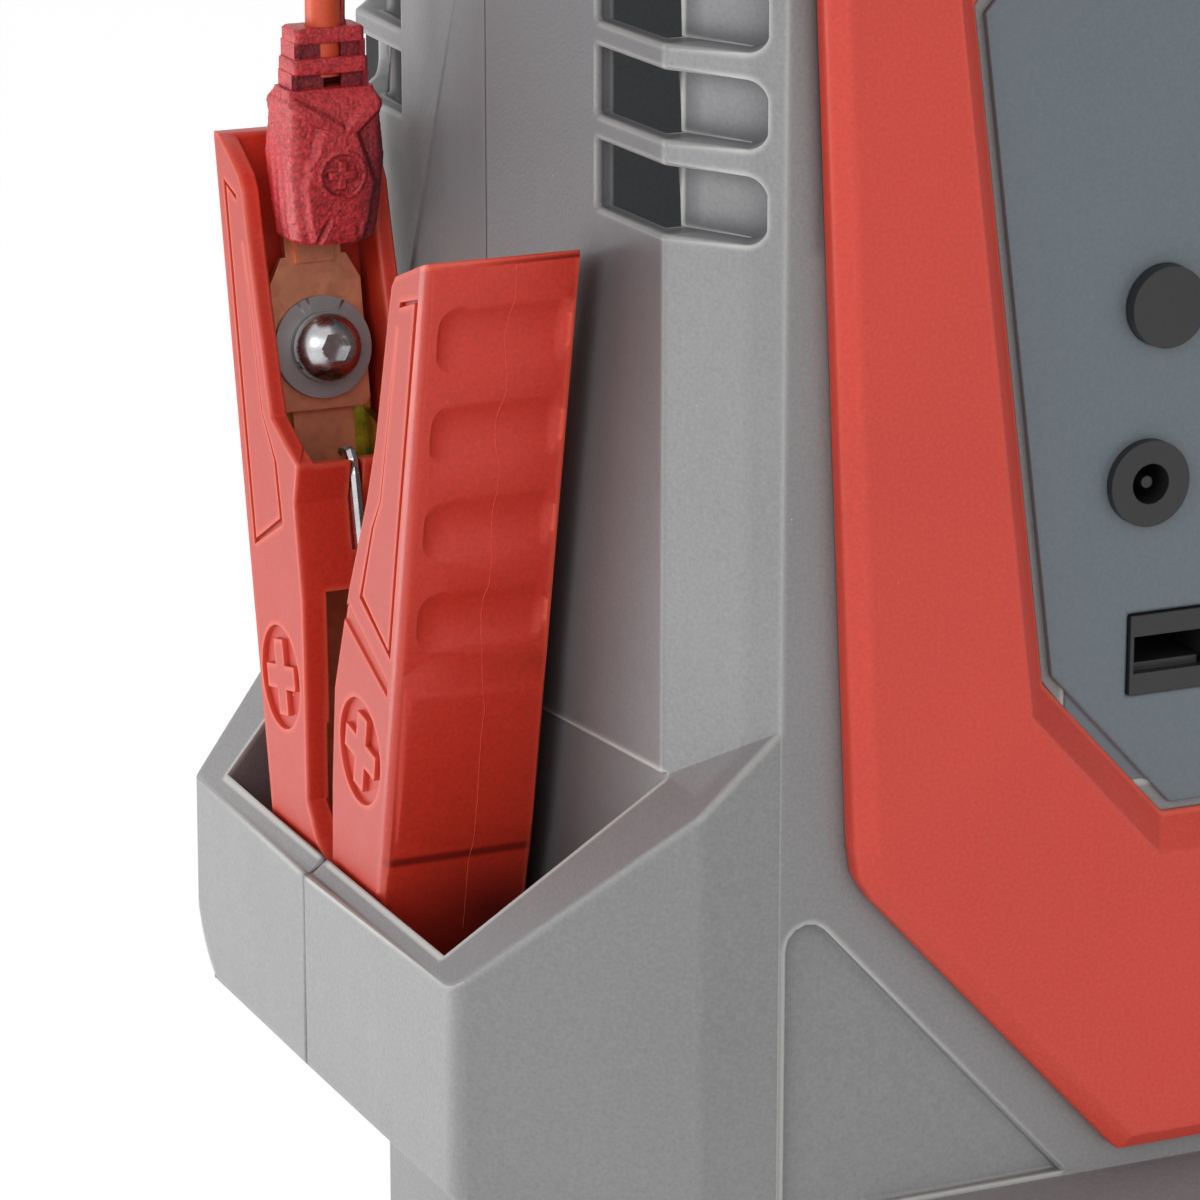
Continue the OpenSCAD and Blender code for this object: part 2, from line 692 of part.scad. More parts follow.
// ---- jump leads ----
function unit(v) = v / norm(v);
function bend_points(p, q, s, r, n) =
  let (a = unit(p - q), b = unit(s - q), c = q + (a + b) * r)
  r == 0 ? [q] : [for (i = [0:n]) c - b * r * cos(90 * i / n) - a * r * sin(90 * i / n)];
function lead_points() = [
  for (i = [0:len(lead_path) - 1])
    for (q = i == 0 || i == len(lead_path) - 1
      ? [lead_path[i]]
      : bend_points(lead_path[i - 1], lead_path[i], lead_path[i + 1], lead_bend[i], 4)) q
];
function tangent(p, i) = unit(p[min(i + 1, len(p) - 1)] - p[max(i - 1, 0)]);
function across(n, t) = unit(n - t * (n * t));
module tube(p, r, sides) {
  last = len(p) - 1;
  normals = [for (i = 0, n = across([0, 1, 0], tangent(p, 0)); i <= last;
    i = i + 1, n = across(n, tangent(p, min(i, last)))) n];
  rings = [for (i = [0:last]) let (t = tangent(p, i), n = normals[i], b = cross(t, n))
    for (k = [0:sides - 1]) p[i] + r * (n * cos(360 * k / sides) + b * sin(360 * k / sides))];
  walls = [for (i = [0:last - 1]) for (k = [0:sides - 1])
    let (a = i * sides + k, b = i * sides + (k + 1) % sides) [a, a + sides, b + sides, b]];
  ends = [[for (k = [0:sides - 1]) k], [for (k = [sides - 1:-1:0]) last * sides + k]];
  polyhedron(points = rings, faces = concat(walls, ends), convexity = 10);
}
module lead() tube(lead_points(), cable_r, 10);
module gland() {
  difference() {
    union() {
      rod_z(31.5, 69.5, 199, 219.8, 5);
      rod_z(31.5, 69.5, 199, 204, 5.4);
      translate([31.5, 69.5, 188]) cylinder(h = 11.2, r1 = 3.9, r2 = 5);
    }
    rod_z(31.5, 69.5, 187, lead_end, cable_r + 0.05);
  }
}
module cable_clips() color(black) {
  both() for (p = [[83.5, 250], [83.5, 165], [31.5, 150]]) difference() {
    box(p[0] - 6, p[0] + 6, bay_y, 72.2, p[1] - 5, p[1] + 5);
    rod_z(p[0], 69.5, p[1] - 6, p[1] + 6, cable_r + 0.05);
    box(p[0] - 2, p[0] + 2, 69.5, 73, p[1] - 6, p[1] + 6);
  }
}

// ---- clamps, drawn on the +X side ----
// y runs outwards from the clamp's middle and z runs up along the handle.
module rear_side() {
  translate([clamp_x, clamp_y, pivot_z]) rotate([-splay, 0, 0]) children();
}
module front_side() {
  translate([clamp_x, clamp_y, pivot_z]) rotate([splay, 0, 0]) mirror([0, 1, 0]) children();
}
// Section that gives both handles their soft long edges; r is the outer one's radius, q the inner one's.
module handle_section(y0, y1, z0, z1, r, q) {
  w = clamp_hw;
  xy(z0, z1) polygon(concat(
    [[w, y0], [w, y1 - r]], arc(w - r, y1 - r, r, 0, 90, 10),
    arc(q - w, y1 - q, q, 90, 180, 6), [[-w, y1 - q], [-w, y0]]
  ));
}
// Shallow finger groove with a soft outer end
module finger_groove(z) {
  translate([0, 33.7, z]) rotate([0, 90, 0]) rotate_extrude($fn = 120) polygon(concat(
    [[0, -11.4], [13.4, -11.4], [14, -10.4], [14.2, -9]],
    [for (i = [0:6]) [13.2 + cos(15 * i), 5 + 4.4 * sin(15 * i)]],
    [[0, 9.4]]
  ));
}
// Groove round a tapered panel on both cheeks
module panel_groove(pts, width) {
  mid = [for (i = [0, 1]) (max([for (p = pts) p[i]]) + min([for (p = pts) p[i]])) / 2];
  half = [for (i = [0, 1]) (max([for (p = pts) p[i]]) - min([for (p = pts) p[i]])) / 2];
  both() yz(clamp_hw - 0.7, clamp_hw + 1) difference() {
    polygon(pts);
    polygon([for (p = pts) [for (i = [0, 1]) mid[i] + (p[i] - mid[i]) * (1 - width / half[i])]]);
  }
}
// Ring and polarity mark sunk into a cheek
module polarity(y, z, plus) {
  both() difference() {
    rod_x(clamp_hw - 0.8, clamp_hw + 1, y, z, 8.2);
    box(clamp_hw - 2, clamp_hw + 2, y - 6, y + 6, z - 1.9, z + 1.9);
    if (plus) box(clamp_hw - 2, clamp_hw + 2, y - 1.9, y + 1.9, z - 6, z + 6);
  }
}
rear_profile = [
  [17.6, 122.9], [20, 123.4], [21.3, 122.2], [22, 112], [22.2, 57], [22.6, 30], [20.6, 15.3], [14, -2],
  [6.4, -6.4], [-6.4, -6.4], [-7.2, 5.2], [1, 14], [3.8, 19.5], [0.8, 35.4], [-1.8, 51], [-1.8, 66],
  [-4.6, 72], [-1, 74.6], [5.2, 79.2], [6, 84], [7.6, 97], [8.8, 108], [9.2, 114], [10.4, 116.6], [14.6, 120.4]
];
module rear_handle(plus) {
  inner = clamp_hw - handle_wall;
  rear_side() difference() {
    union() {
      difference() {
        intersection() {
          yz(-clamp_hw, clamp_hw) polygon(rear_profile);
          handle_section(-10, 22.8, -12, 130, 3.2, 3.2);
        }
        // channel, open to the front and at the top
        box(-inner, inner, -12, floor_y, 72, 130);
        box(-8.4, 8.4, 1.6, floor_y, -12, 73);
        box(-8, 8, -12, floor_y, -12, 52);
      }
      for (s = [-1, 1]) rod_x(s * (clamp_hw - 1.45) - 1.45, s * (clamp_hw - 1.45) + 1.45, 0, 0, 9);
    }
    // room for the front handle's ears
    box(-9.1, 9.1, -12, 13.5, -13, 12);
    rod_x(-20, 20, 0, 0, pin_r + 0.05);
    // groove for the spring's leg
    box(0.9, 3.1, -6, -1.2, 58, 74);
    rod_y(0, floor_y - 1, 30, screw_z, 3.1);
    polarity(10.8, 38.3, plus);
    panel_groove([
      [17.4, 116], [12.4, 113.4], [11.2, 105], [9.6, 92], [8.9, 80], [4.4, 72], [4, 62.6], [17.6, 58.8]
    ], 1);
  }
}
front_profile = [
  [8.5, 111.6], [9.6, 113.6], [20, 119.8], [20.5, 118.8], [20.6, 113], [20.4, 54], [21.2, 49.5], [21, 27], [20.4, 22.5], [19.5, 2], [15, -7],
  [7, -8.5], [-4, -7], [-5, 8], [0.5, 12], [-1.5, 25], [-3, 40.6], [0, 58.6], [4.5, 75.5], [6.4, 86.2], [8.1, 108]
];
module front_handle(plus) {
  inner = clamp_hw - handle_wall;
  front_side() difference() {
    union() {
      difference() {
        intersection() {
          yz(-clamp_hw, clamp_hw) polygon(front_profile);
          handle_section(-12, 21.3, -12, 125, 3.2, 1.2);
        }
        // channel, open towards the rear handle
        box(-inner, inner, -12, 16.8, -12, 109);
        // clear of the rear handle's ears
        rod_x(-20, 20, 0, 0, 12.5);
        // finger grooves
        for (i = [0:3]) finger_groove(107.6 - i * 15.1);
      }
      // inner ears on the pivot
      for (s = [-1, 1]) translate([s * 7.1, 0, 0]) {
        rod_x(-1.4, 1.4, 0, 0, 8.4);
        yz(-1.4, 1.4) polygon([[0, -8.3], [10, -7.5], [17.2, -3], [17.2, 16], [10, 14], [0, 8.3]]);
      }
    }
    rod_x(-20, 20, 0, 0, pin_r + 0.05);
    polarity(8.6, 35.6, plus);
    panel_groove([[18.6, 113.8], [12.2, 110.6], [9.9, 77.8], [7.4, 72.2], [4.6, 59.5], [17.6, 55.6], [17.7, 72]], 1);
    both() yz(clamp_hw - 0.4, clamp_hw + 1) polygon([[0.5, 56.6], [-2.4, 53.8], [17.4, 49.2], [17.4, 51.6]]);
  }
}
// A bent copper plate from the handle to the jaw's tip; y0 is its inner face
module jaw(y0, z_top) {
  function along(y, z) = turned(splay, 0, [y, z]);
  function yz_of(p) = [p[1], p[2]];
  heel = yz_of(along(y0, 8));
  g = jaw_gap / 2;
  difference() {
    yz(-jaw_hw, jaw_hw) polygon([
      [g, -jaw_tip], [g, -jaw_tip + 6.5], [9.6, -9.6], [heel[0] - 1.5, -2.2], heel,
      yz_of(along(y0, z_top)), yz_of(along(y0 + plate_t, z_top)), yz_of(along(y0 + plate_t, 7)),
      [heel[0] - 0.1, -2.9], [11.2, -11], [g + 3.2, -jaw_tip + 5.6], [g + 2.2, -jaw_tip]
    ]);
    for (i = [0:3]) translate([0, g - 0.5, -jaw_tip + 0.9 + i * 1.6]) rotate([45, 0, 0])
      cube([3 * jaw_hw, 0.9, 0.9], center = true);
  }
}
module rear_jaw() translate([clamp_x, clamp_y, pivot_z]) difference() {
  jaw(strip_y, 98);
  rotate([-splay, 0, 0]) rod_y(0, 10, 20, screw_z, 3.1);
}
module front_jaw() translate([clamp_x, clamp_y, pivot_z]) mirror([0, 1, 0]) jaw(15.3, 60);
module liner() rear_side() {
  difference() {
    union() {
      box(-8, 8, floor_y - liner_t, floor_y, 13, 100);
      for (s = [-1, 1]) yz(s * 7.4 - 0.6, s * 7.4 + 0.6)
        polygon([[floor_y, 13], [floor_y, 92], [14.4, 92], [14.4, 78.5], [9, 76], [9, 30], [12, 26], [15, 13]]);
    }
    rod_y(0, 10, 20, screw_z, 3.1);
  }
}
module lug() {
  intersection() {
    rear_side() difference() {
      union() {
        xz(lug_y, lug_y + plate_t) polygon([
          [-7.5, 80], [-6.5, 79], [6.5, 79], [7.5, 80], [7.5, 99], [5.4, 103], [4.6, 103], [4.6, 112],
          [-4.6, 112], [-4.6, 103], [-5.4, 103], [-7.5, 99]
        ]);
        box(-3, 3, lug_y - 1.2, lug_y + plate_t, 102, 112);
      }
      rod_y(0, 5, 25, screw_z, 3.1);
    }
    box(100, 160, -50, 80, 100, boot_z);
  }
}
module washers() rear_side() {
  difference() {
    rod_y(0, flat_y, lug_y, screw_z, washer_r);
    rod_y(0, flat_y - 1, lug_y + 1, screw_z, 3.15);
  }
  difference() {
    rod_y(0, split_y, flat_y, screw_z, 5.5);
    rod_y(0, split_y - 1, flat_y + 1, screw_z, 3.15);
    translate([4.4, 0, screw_z - 2.6]) rotate([0, -25, 0]) box(-3, 3, split_y - 1, flat_y + 1, -0.4, 0.4);
  }
}
module lug_screw() rear_side() difference() {
  union() {
    rod_y(0, split_y - 1, 21.5, screw_z, 3);
    intersection() {
      rod_y(0, split_y - 4.4, split_y, screw_z, screw_head_r);
      translate([0, split_y + 1.2, screw_z]) sphere(r = 5.75);
    }
  }
  translate([0, split_y - 2, screw_z]) rotate([90, 0, 0]) cylinder(h = 6, r = 2.4, $fn = 6);
}
module boot() {
  translate([clamp_x, boot_y, 0]) difference() {
    union() {
      rotate_extrude() polygon([
        [0, boot_z], [8, boot_z], [8.9, 224], [9.1, 233], [10.1, 236.5], [10.1, 240], [9.2, 243.4],
        [6.4, 245.6], [6.4, 246], [0, 246]
      ]);
      rod_z(0, 0, 248.2, 250.9, 7.1);
      rod_z(0, 0, 252.7, 255.6, 6.6);
      for (s = [-1, 1]) box(s * 4.6 - 1.4, s * 4.6 + 1.4, -3, 3, 245.5, 255);
    }
    rod_z(0, 0, 246, 260, cable_r + 0.05);
  }
}
module pivot_pin() rod_x(clamp_x - clamp_hw, clamp_x + clamp_hw, clamp_y, pivot_z, pin_r);
// Torsion spring: a coil round the pin with one leg behind each handle
function turned(a, x, p) = [x, p[0] * cos(a) + p[1] * sin(a), p[1] * cos(a) - p[0] * sin(a)];
function spring_points() =
  let (front = -(splay + front_lean), back = splay + back_lean, last = 180 - back, first = 360 * coil_turns - front)
  concat(
    [turned(front, coil_x0, [coil_r, front_leg]), turned(front, coil_x0, [coil_r, 9])],
    [for (i = [0:coil_turns * 10])
      let (a = first + (last - first) * i / (coil_turns * 10), x = coil_x0 + (back_x - coil_x0) * i / (coil_turns * 10))
      [x, coil_r * cos(a), coil_r * sin(a)]],
    [for (z = [9, 69.5]) turned(back, back_x, [-coil_r, z])],
    [for (q = [[-2.2, 71.8], [-1.5, 72.8], [-0.6, 73.05], [1.4, 73.05]]) turned(splay, back_x, q)]
  );
module spring() translate([clamp_x, clamp_y, pivot_z]) tube(spring_points(), wire_r, 8);

module red_gland() color(red) mirror([1, 0, 0]) gland();
module black_gland() color(black) gland();
module red_cable() color([0.8, 0.25, 0.16]) mirror([1, 0, 0]) lead();
module black_cable() color(black) lead();
module red_boot() color(wine) mirror([1, 0, 0]) boot();
module black_boot() color(black) boot();
module red_lug() color(copper) mirror([1, 0, 0]) lug();
module black_lug() color(copper) lug();
module red_lug_screw() color(steel) mirror([1, 0, 0]) lug_screw();
module black_lug_screw() color(steel) lug_screw();
module red_washers() color(steel) mirror([1, 0, 0]) washers();
module black_washers() color(steel) washers();
module red_rear_handle() color(red) mirror([1, 0, 0]) rear_handle(true);
module black_rear_handle() color(black) rear_handle(false);
module red_front_handle() color(red) mirror([1, 0, 0]) front_handle(true);
module black_front_handle() color(black) front_handle(false);
module red_rear_jaw() color(copper) mirror([1, 0, 0]) rear_jaw();
module black_rear_jaw() color(copper) rear_jaw();
module red_front_jaw() color(copper) mirror([1, 0, 0]) front_jaw();
module black_front_jaw() color(copper) front_jaw();
module red_liner() color(zinc) mirror([1, 0, 0]) liner();
module black_liner() color(zinc) liner();
module red_pivot_pin() color(steel) mirror([1, 0, 0]) pivot_pin();
module black_pivot_pin() color(steel) pivot_pin();
module red_spring() color(steel) mirror([1, 0, 0]) spring();
module black_spring() color(steel) spring();

front_housing();
rear_housing();
front_frame();
control_panel();
display_window();
display_board();
power_knob();
switch_body();
test_button();
light_button();
tact_switches();
main_board();
board_screws();
usb_ports();
outlet_12v();
outlet_cap();
cap_hinge_pin();
charge_inlet();
lamp_lens();
lamp_reflector();
lamp_board();
handle_grip();
feet();
rear_bumpers();
housing_screws();
battery();
battery_bracket();
bracket_screws();
cable_clips();
red_gland();
black_gland();
red_cable();
black_cable();
red_boot();
black_boot();
red_lug();
black_lug();
red_lug_screw();
black_lug_screw();
red_washers();
black_washers();
red_rear_handle();
black_rear_handle();
red_front_handle();
black_front_handle();
red_rear_jaw();
black_rear_jaw();
red_front_jaw();
black_front_jaw();
red_liner();
black_liner();
red_pivot_pin();
black_pivot_pin();
red_spring();
black_spring();
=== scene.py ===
import json
import math

import bmesh
import bpy
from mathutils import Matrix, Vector, noise
from mathutils.bvhtree import BVHTree

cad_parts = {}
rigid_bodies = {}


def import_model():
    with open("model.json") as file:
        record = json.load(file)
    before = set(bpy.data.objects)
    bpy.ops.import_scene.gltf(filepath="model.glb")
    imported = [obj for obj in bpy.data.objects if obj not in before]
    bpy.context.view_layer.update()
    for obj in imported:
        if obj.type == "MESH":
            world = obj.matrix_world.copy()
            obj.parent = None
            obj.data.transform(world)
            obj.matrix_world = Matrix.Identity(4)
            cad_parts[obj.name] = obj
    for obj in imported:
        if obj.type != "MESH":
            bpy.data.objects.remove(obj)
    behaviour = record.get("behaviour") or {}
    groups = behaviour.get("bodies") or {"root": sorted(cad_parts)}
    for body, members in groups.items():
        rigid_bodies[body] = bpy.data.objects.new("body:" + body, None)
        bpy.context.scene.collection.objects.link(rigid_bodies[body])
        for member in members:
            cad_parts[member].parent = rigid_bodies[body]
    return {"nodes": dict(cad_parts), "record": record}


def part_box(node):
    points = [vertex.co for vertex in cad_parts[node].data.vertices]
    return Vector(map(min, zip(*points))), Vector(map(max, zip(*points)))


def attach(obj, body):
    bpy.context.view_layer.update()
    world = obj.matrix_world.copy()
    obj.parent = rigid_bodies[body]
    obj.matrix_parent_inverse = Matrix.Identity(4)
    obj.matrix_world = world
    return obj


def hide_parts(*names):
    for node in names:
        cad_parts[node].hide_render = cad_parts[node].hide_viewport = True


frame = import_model()
NODES = frame["nodes"]
SLOT = {row["node"]: row["material_slot"] for row in frame["record"]["subparts"]}
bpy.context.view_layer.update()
MM = 0.001

# Places that the part's source names too, in millimetres; x is measured from the pack's middle
SIDE = {"red": -1, "black": 1}
CLAMP_X = 129.5
LEAD_Y = 29.5
PIVOT_Y, PIVOT_Z = 2.5, 118
SPLAY = math.radians(11.2)


def lin(r, g, b):
    """A colour given in display values from 0 to 255, as the linear colour that a shader takes."""
    def channel(c):
        c /= 255
        return c / 12.92 if c <= 0.04045 else ((c + 0.055) / 1.055) ** 2.4
    return channel(r), channel(g), channel(b), 1.0


# ---- camera, fitted to the photo ----
AZIMUTH = math.radians(-24.065)
PITCH = math.radians(16.352)
camera = bpy.data.cameras.new("camera")
camera.sensor_width = 36
camera.lens = 156
camera.clip_end = 20
camera_object = bpy.data.objects.new("camera", camera)
camera_object.location = (-0.411523, -0.70589, 0.392872)
camera_object.rotation_euler = (math.pi / 2 - PITCH, 0, AZIMUTH)
SCENE = bpy.context.scene.collection
SCENE.objects.link(camera_object)
bpy.context.scene.camera = camera_object
bpy.context.scene.view_settings.view_transform = "Standard"


# ---- new meshes ----
# Angles in degrees above which an edge stays sharp
SHARP, SHARP_ON_BOOT, SHARP_ON_ROUND = 28, 55, 60


def skin(bm, rings, close=True):
    """Faces between rings of points.

    With close both ends get a cap, and otherwise the last ring joins the first."""
    rows = [[bm.verts.new(p) for p in ring] for ring in rings]
    pairs = list(zip(rows, rows[1:]))
    if not close:
        pairs.append((rows[-1], rows[0]))
    for low, high in pairs:
        n = len(low)
        for k in range(n):
            bm.faces.new((low[k], low[(k + 1) % n], high[(k + 1) % n], high[k]))
    if close:
        bm.faces.new(rows[0][::-1])
        bm.faces.new(rows[-1])


def round_tube(bm, points, radii, sides=10):
    """A closed tube along points, with a radius at each."""
    rings = []
    across = Vector((1, 0, 0))
    last = len(points) - 1
    turns = [2 * math.pi * k / sides for k in range(sides)]
    for i, p in enumerate(points):
        along = (points[min(i + 1, last)] - points[max(i - 1, 0)]).normalized()
        across = (across - along * across.dot(along)).normalized()
        other = along.cross(across)
        rings.append([p + radii[i] * (across * math.cos(t) + other * math.sin(t)) for t in turns])
    skin(bm, rings)


def finish_mesh(o, sharp_deg):
    """Sharp edges, and normals that lean to the larger faces; flat faces stay flat."""
    rounds = [polygon.use_smooth for polygon in o.data.polygons]
    o.data.set_sharp_from_angle(angle=math.radians(sharp_deg))
    for polygon, is_round in zip(o.data.polygons, rounds):
        polygon.use_smooth = is_round
    weighted(o)


def weighted(o):
    o.modifiers.new("normals", "WEIGHTED_NORMAL").keep_sharp = True


def piece(name, bm, body, slot, sharp_deg=SHARP, planes=False):
    """A new mesh object from a bmesh, which rides on a body.

    With planes, the faces that the mesh marks as flat stay flat."""
    bmesh.ops.recalc_face_normals(bm, faces=bm.faces)
    for f in bm.faces:
        f.smooth = f.smooth or not planes
    data = bpy.data.meshes.new(name)
    bm.to_mesh(data)
    bm.free()
    o = bpy.data.objects.new(name, data)
    SCENE.objects.link(o)
    finish_mesh(o, sharp_deg)
    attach(o, body)
    return o


# ---- jump leads: the corners of their route in millimetres, as the part's source has them ----
CABLE_R = 2.7
CABLE_SIDES = 28
BOOT_END_Z = 246
LEAD_TOP, LEAD_LOW = 306, 94
BAY_X, BAY_Y = 83.5, 69.5
GLAND_X, GLAND_Z = 31.5, 200
LEAD_PATH = [
    (CLAMP_X, LEAD_Y, BOOT_END_Z), (CLAMP_X, LEAD_Y, LEAD_TOP), (BAY_X, LEAD_Y, LEAD_TOP),
    (BAY_X, BAY_Y, LEAD_TOP), (BAY_X, BAY_Y, LEAD_LOW), (GLAND_X, BAY_Y, LEAD_LOW),
    (GLAND_X, BAY_Y, GLAND_Z),
]
LEAD_BEND = [0, 26, 20, 20, 26, 26, 0]


def lead_route(side, steps=10):
    """The lead's centreline from its gland to the boot, in metres, with round bends."""
    corners = [Vector((side * x, y, z)) * MM for x, y, z in LEAD_PATH]
    points = [corners[0]]
    for i in range(1, len(corners) - 1):
        a = (corners[i - 1] - corners[i]).normalized()
        b = (corners[i + 1] - corners[i]).normalized()
        r = LEAD_BEND[i] * MM
        centre = corners[i] + (a + b) * r
        for k in range(steps + 1):
            t = math.pi / 2 * k / steps
            points.append(centre - b * r * math.cos(t) - a * r * math.sin(t))
    points.append(corners[-1])
    return points[::-1]


def lead(colour):
    route = lead_route(SIDE[colour])
    bm = bmesh.new()
    round_tube(bm, route, [CABLE_R * MM] * len(route), CABLE_SIDES)
    o = piece(f"{colour}_lead", bm, "pack", f"cable_{colour}", SHARP_ON_ROUND)
    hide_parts(f"{colour}_cable")
    length = sum((b - a).length for a, b in zip(route, route[1:]))
    tuple(route[0])
    [tuple(p) for p in route]
    return o


LEADS = {colour: lead(colour) for colour in SIDE}


# ---- procedural materials ----
AO_SAMPLES = 6
BEVEL_SAMPLES = 4
X, Y, Z = (1, 0, 0), (0, 1, 0), (0, 0, 1)
LEFT, FRONT = (-1, 0, 0), (0, -1, 0)
RED_CLAMP = (SIDE["red"] * CLAMP_X, 0, 0)


class Shade:
    """A node material with a Principled shader, and the few building blocks that they share."""

    def __init__(self, name, base, roughness, metallic=0.0, specular=0.5):
        self.material = bpy.data.materials.new(name)
        self.material.use_nodes = True
        self.tree = self.material.node_tree
        self.tree.nodes.clear()
        self.bsdf = self.add("ShaderNodeBsdfPrincipled")
        self.link(self.bsdf.outputs[0], self.add("ShaderNodeOutputMaterial").inputs["Surface"])
        self.coord = self.add("ShaderNodeTexCoord").outputs["Object"]
        self.bsdf.inputs["Base Color"].default_value = base
        self.bsdf.inputs["Roughness"].default_value = roughness
        self.bsdf.inputs["Metallic"].default_value = metallic
        self.bsdf.inputs["Specular IOR Level"].default_value = specular
        self.base = base
        self.colour = None
        self.normal = None

    def add(self, kind):
        return self.tree.nodes.new(kind)

    def link(self, a, b):
        self.tree.links.new(a, b)

    def stretched(self, sx, sy, sz):
        node = self.add("ShaderNodeMapping")
        node.inputs["Scale"].default_value = (sx, sy, sz)
        self.link(self.coord, node.inputs["Vector"])
        return node.outputs[0]

    def noise(self, size_mm, detail=2.0, rough=0.5, vector=None, distortion=0.0):
        node = self.add("ShaderNodeTexNoise")
        node.inputs["Scale"].default_value = 1 / (size_mm * MM)
        node.inputs["Detail"].default_value = detail
        node.inputs["Roughness"].default_value = rough
        node.inputs["Distortion"].default_value = distortion
        self.link(vector or self.coord, node.inputs["Vector"])
        return node.outputs["Fac"]

    def cells(self, size_mm):
        """Distance from the nearest of many scattered points."""
        node = self.add("ShaderNodeTexVoronoi")
        node.inputs["Scale"].default_value = 1 / (size_mm * MM)
        self.link(self.coord, node.inputs["Vector"])
        return node.outputs["Distance"]

    def dot(self, vector, direction):
        node = self.add("ShaderNodeVectorMath")
        node.operation = "DOT_PRODUCT"
        self.link(vector, node.inputs[0])
        node.inputs[1].default_value = direction
        return node.outputs["Value"]

    def along(self, direction, origin_mm=(0, 0, 0)):
        """Distance in millimetres from a point of the frame, measured along a direction."""
        shift = self.add("ShaderNodeVectorMath")
        shift.operation = "SUBTRACT"
        self.link(self.coord, shift.inputs[0])
        shift.inputs[1].default_value = [c * MM for c in origin_mm]
        return self.dot(shift.outputs[0], [c / MM for c in direction])

    def off_middle(self, direction):
        """Distance in millimetres from the pack's middle plane, on either side of it."""
        return self.math("ABSOLUTE", self.along(direction), 0)

    def ramp(self, value, low, high, out_low=0.0, out_high=1.0):
        """Goes from out_low at low to out_high at high, and no further."""
        node = self.add("ShaderNodeMapRange")
        node.inputs["From Min"].default_value = low
        node.inputs["From Max"].default_value = high
        node.inputs["To Min"].default_value = out_low
        node.inputs["To Max"].default_value = out_high
        self.link(value, node.inputs["Value"])
        return node.outputs[0]

    def within(self, value, low, high, soft):
        """1 where a value lies between low and high."""
        rises = self.ramp(value, low - soft, low + soft)
        falls = self.ramp(value, high - soft, high + soft, 1, 0)
        return self.times(rises, falls)

    def math(self, operation, a, b):
        node = self.add("ShaderNodeMath")
        node.operation = operation
        for socket, value in zip(node.inputs, (a, b)):
            if isinstance(value, (int, float)):
                socket.default_value = value
            else:
                self.link(value, socket)
        return node.outputs[0]

    def times(self, value, *others):
        for other in others:
            value = self.math("MULTIPLY", value, other)
        return value

    def tint(self, factor, colour):
        """Mixes colour over what the base colour is so far."""
        node = self.add("ShaderNodeMix")
        node.data_type = "RGBA"
        if self.colour is None:
            node.inputs["A"].default_value = self.base
        else:
            self.link(self.colour, node.inputs["A"])
        node.inputs["B"].default_value = colour
        self.link(factor, node.inputs["Factor"])
        self.colour = node.outputs["Result"]
        self.link(self.colour, self.bsdf.inputs["Base Color"])

    def rough(self, factor, low, high):
        self.link(self.ramp(factor, 0, 1, low, high), self.bsdf.inputs["Roughness"])

    def bump(self, height, depth_mm, strength=1.0):
        node = self.add("ShaderNodeBump")
        node.inputs["Distance"].default_value = depth_mm * MM
        node.inputs["Strength"].default_value = strength
        self.link(height, node.inputs["Height"])
        if self.normal is not None:
            self.link(self.normal, node.inputs["Normal"])
        self.normal = node.outputs[0]
        self.link(self.normal, self.bsdf.inputs["Normal"])

    def soft_edges(self, radius_mm):
        node = self.add("ShaderNodeBevel")
        node.samples = BEVEL_SAMPLES
        node.inputs["Radius"].default_value = radius_mm * MM
        self.normal = node.outputs[0]
        self.link(self.normal, self.bsdf.inputs["Normal"])

    def openness(self, reach_mm, inside=False):
        """Ambient occlusion; from inside it sees this object alone and finds thin edges."""
        node = self.add("ShaderNodeAmbientOcclusion")
        node.samples = AO_SAMPLES
        node.inside = node.only_local = inside
        node.inputs["Distance"].default_value = reach_mm * MM
        return node.outputs["AO"]

    def edges(self, reach_mm, face_at=0.93, edge_at=0.68):
        """1 along outward edges and 0 on open faces."""
        return self.ramp(self.openness(reach_mm, inside=True), face_at, edge_at)

    def hollows(self, reach_mm, open_at=0.75, closed_at=0.25):
        """1 in grooves and corners and 0 on open faces."""
        return self.ramp(self.openness(reach_mm), open_at, closed_at)

    def facing(self, direction, low=0.45, high=0.8):
        """1 on faces that look along a direction."""
        normal = self.add("ShaderNodeNewGeometry").outputs["True Normal"]
        return self.ramp(self.dot(normal, direction), low, high)


def scaled(colour, k):
    return tuple(min(1.0, c * k) for c in colour[:3]) + (1.0,)


# Sizes in millimetres and strengths that all moulded pieces share, among them those of painted
# glints, of painted shade in hollows and of a painted highlight along edges
CLOUD_MM, MOTTLE_MM, GLINT_MM = 38, 0.6, 0.42
DUST_MM, DUST_AREA_MM = 5.2, 9
GLOSS_MM, WAVE_MM = 6, 14
MOTTLE_GAIN = 2.2
GLINT_GAIN = 2.6
WAVE_DEPTH, WAVE_STRENGTH = 0.05, 0.35
HOLLOW_SHADE_STRENGTH = 0.8
EDGE_REACH, HIGHLIGHT_STRENGTH = 1.1, 0.62
DUST_COLOUR = (0.85, 0.8, 0.76, 1)


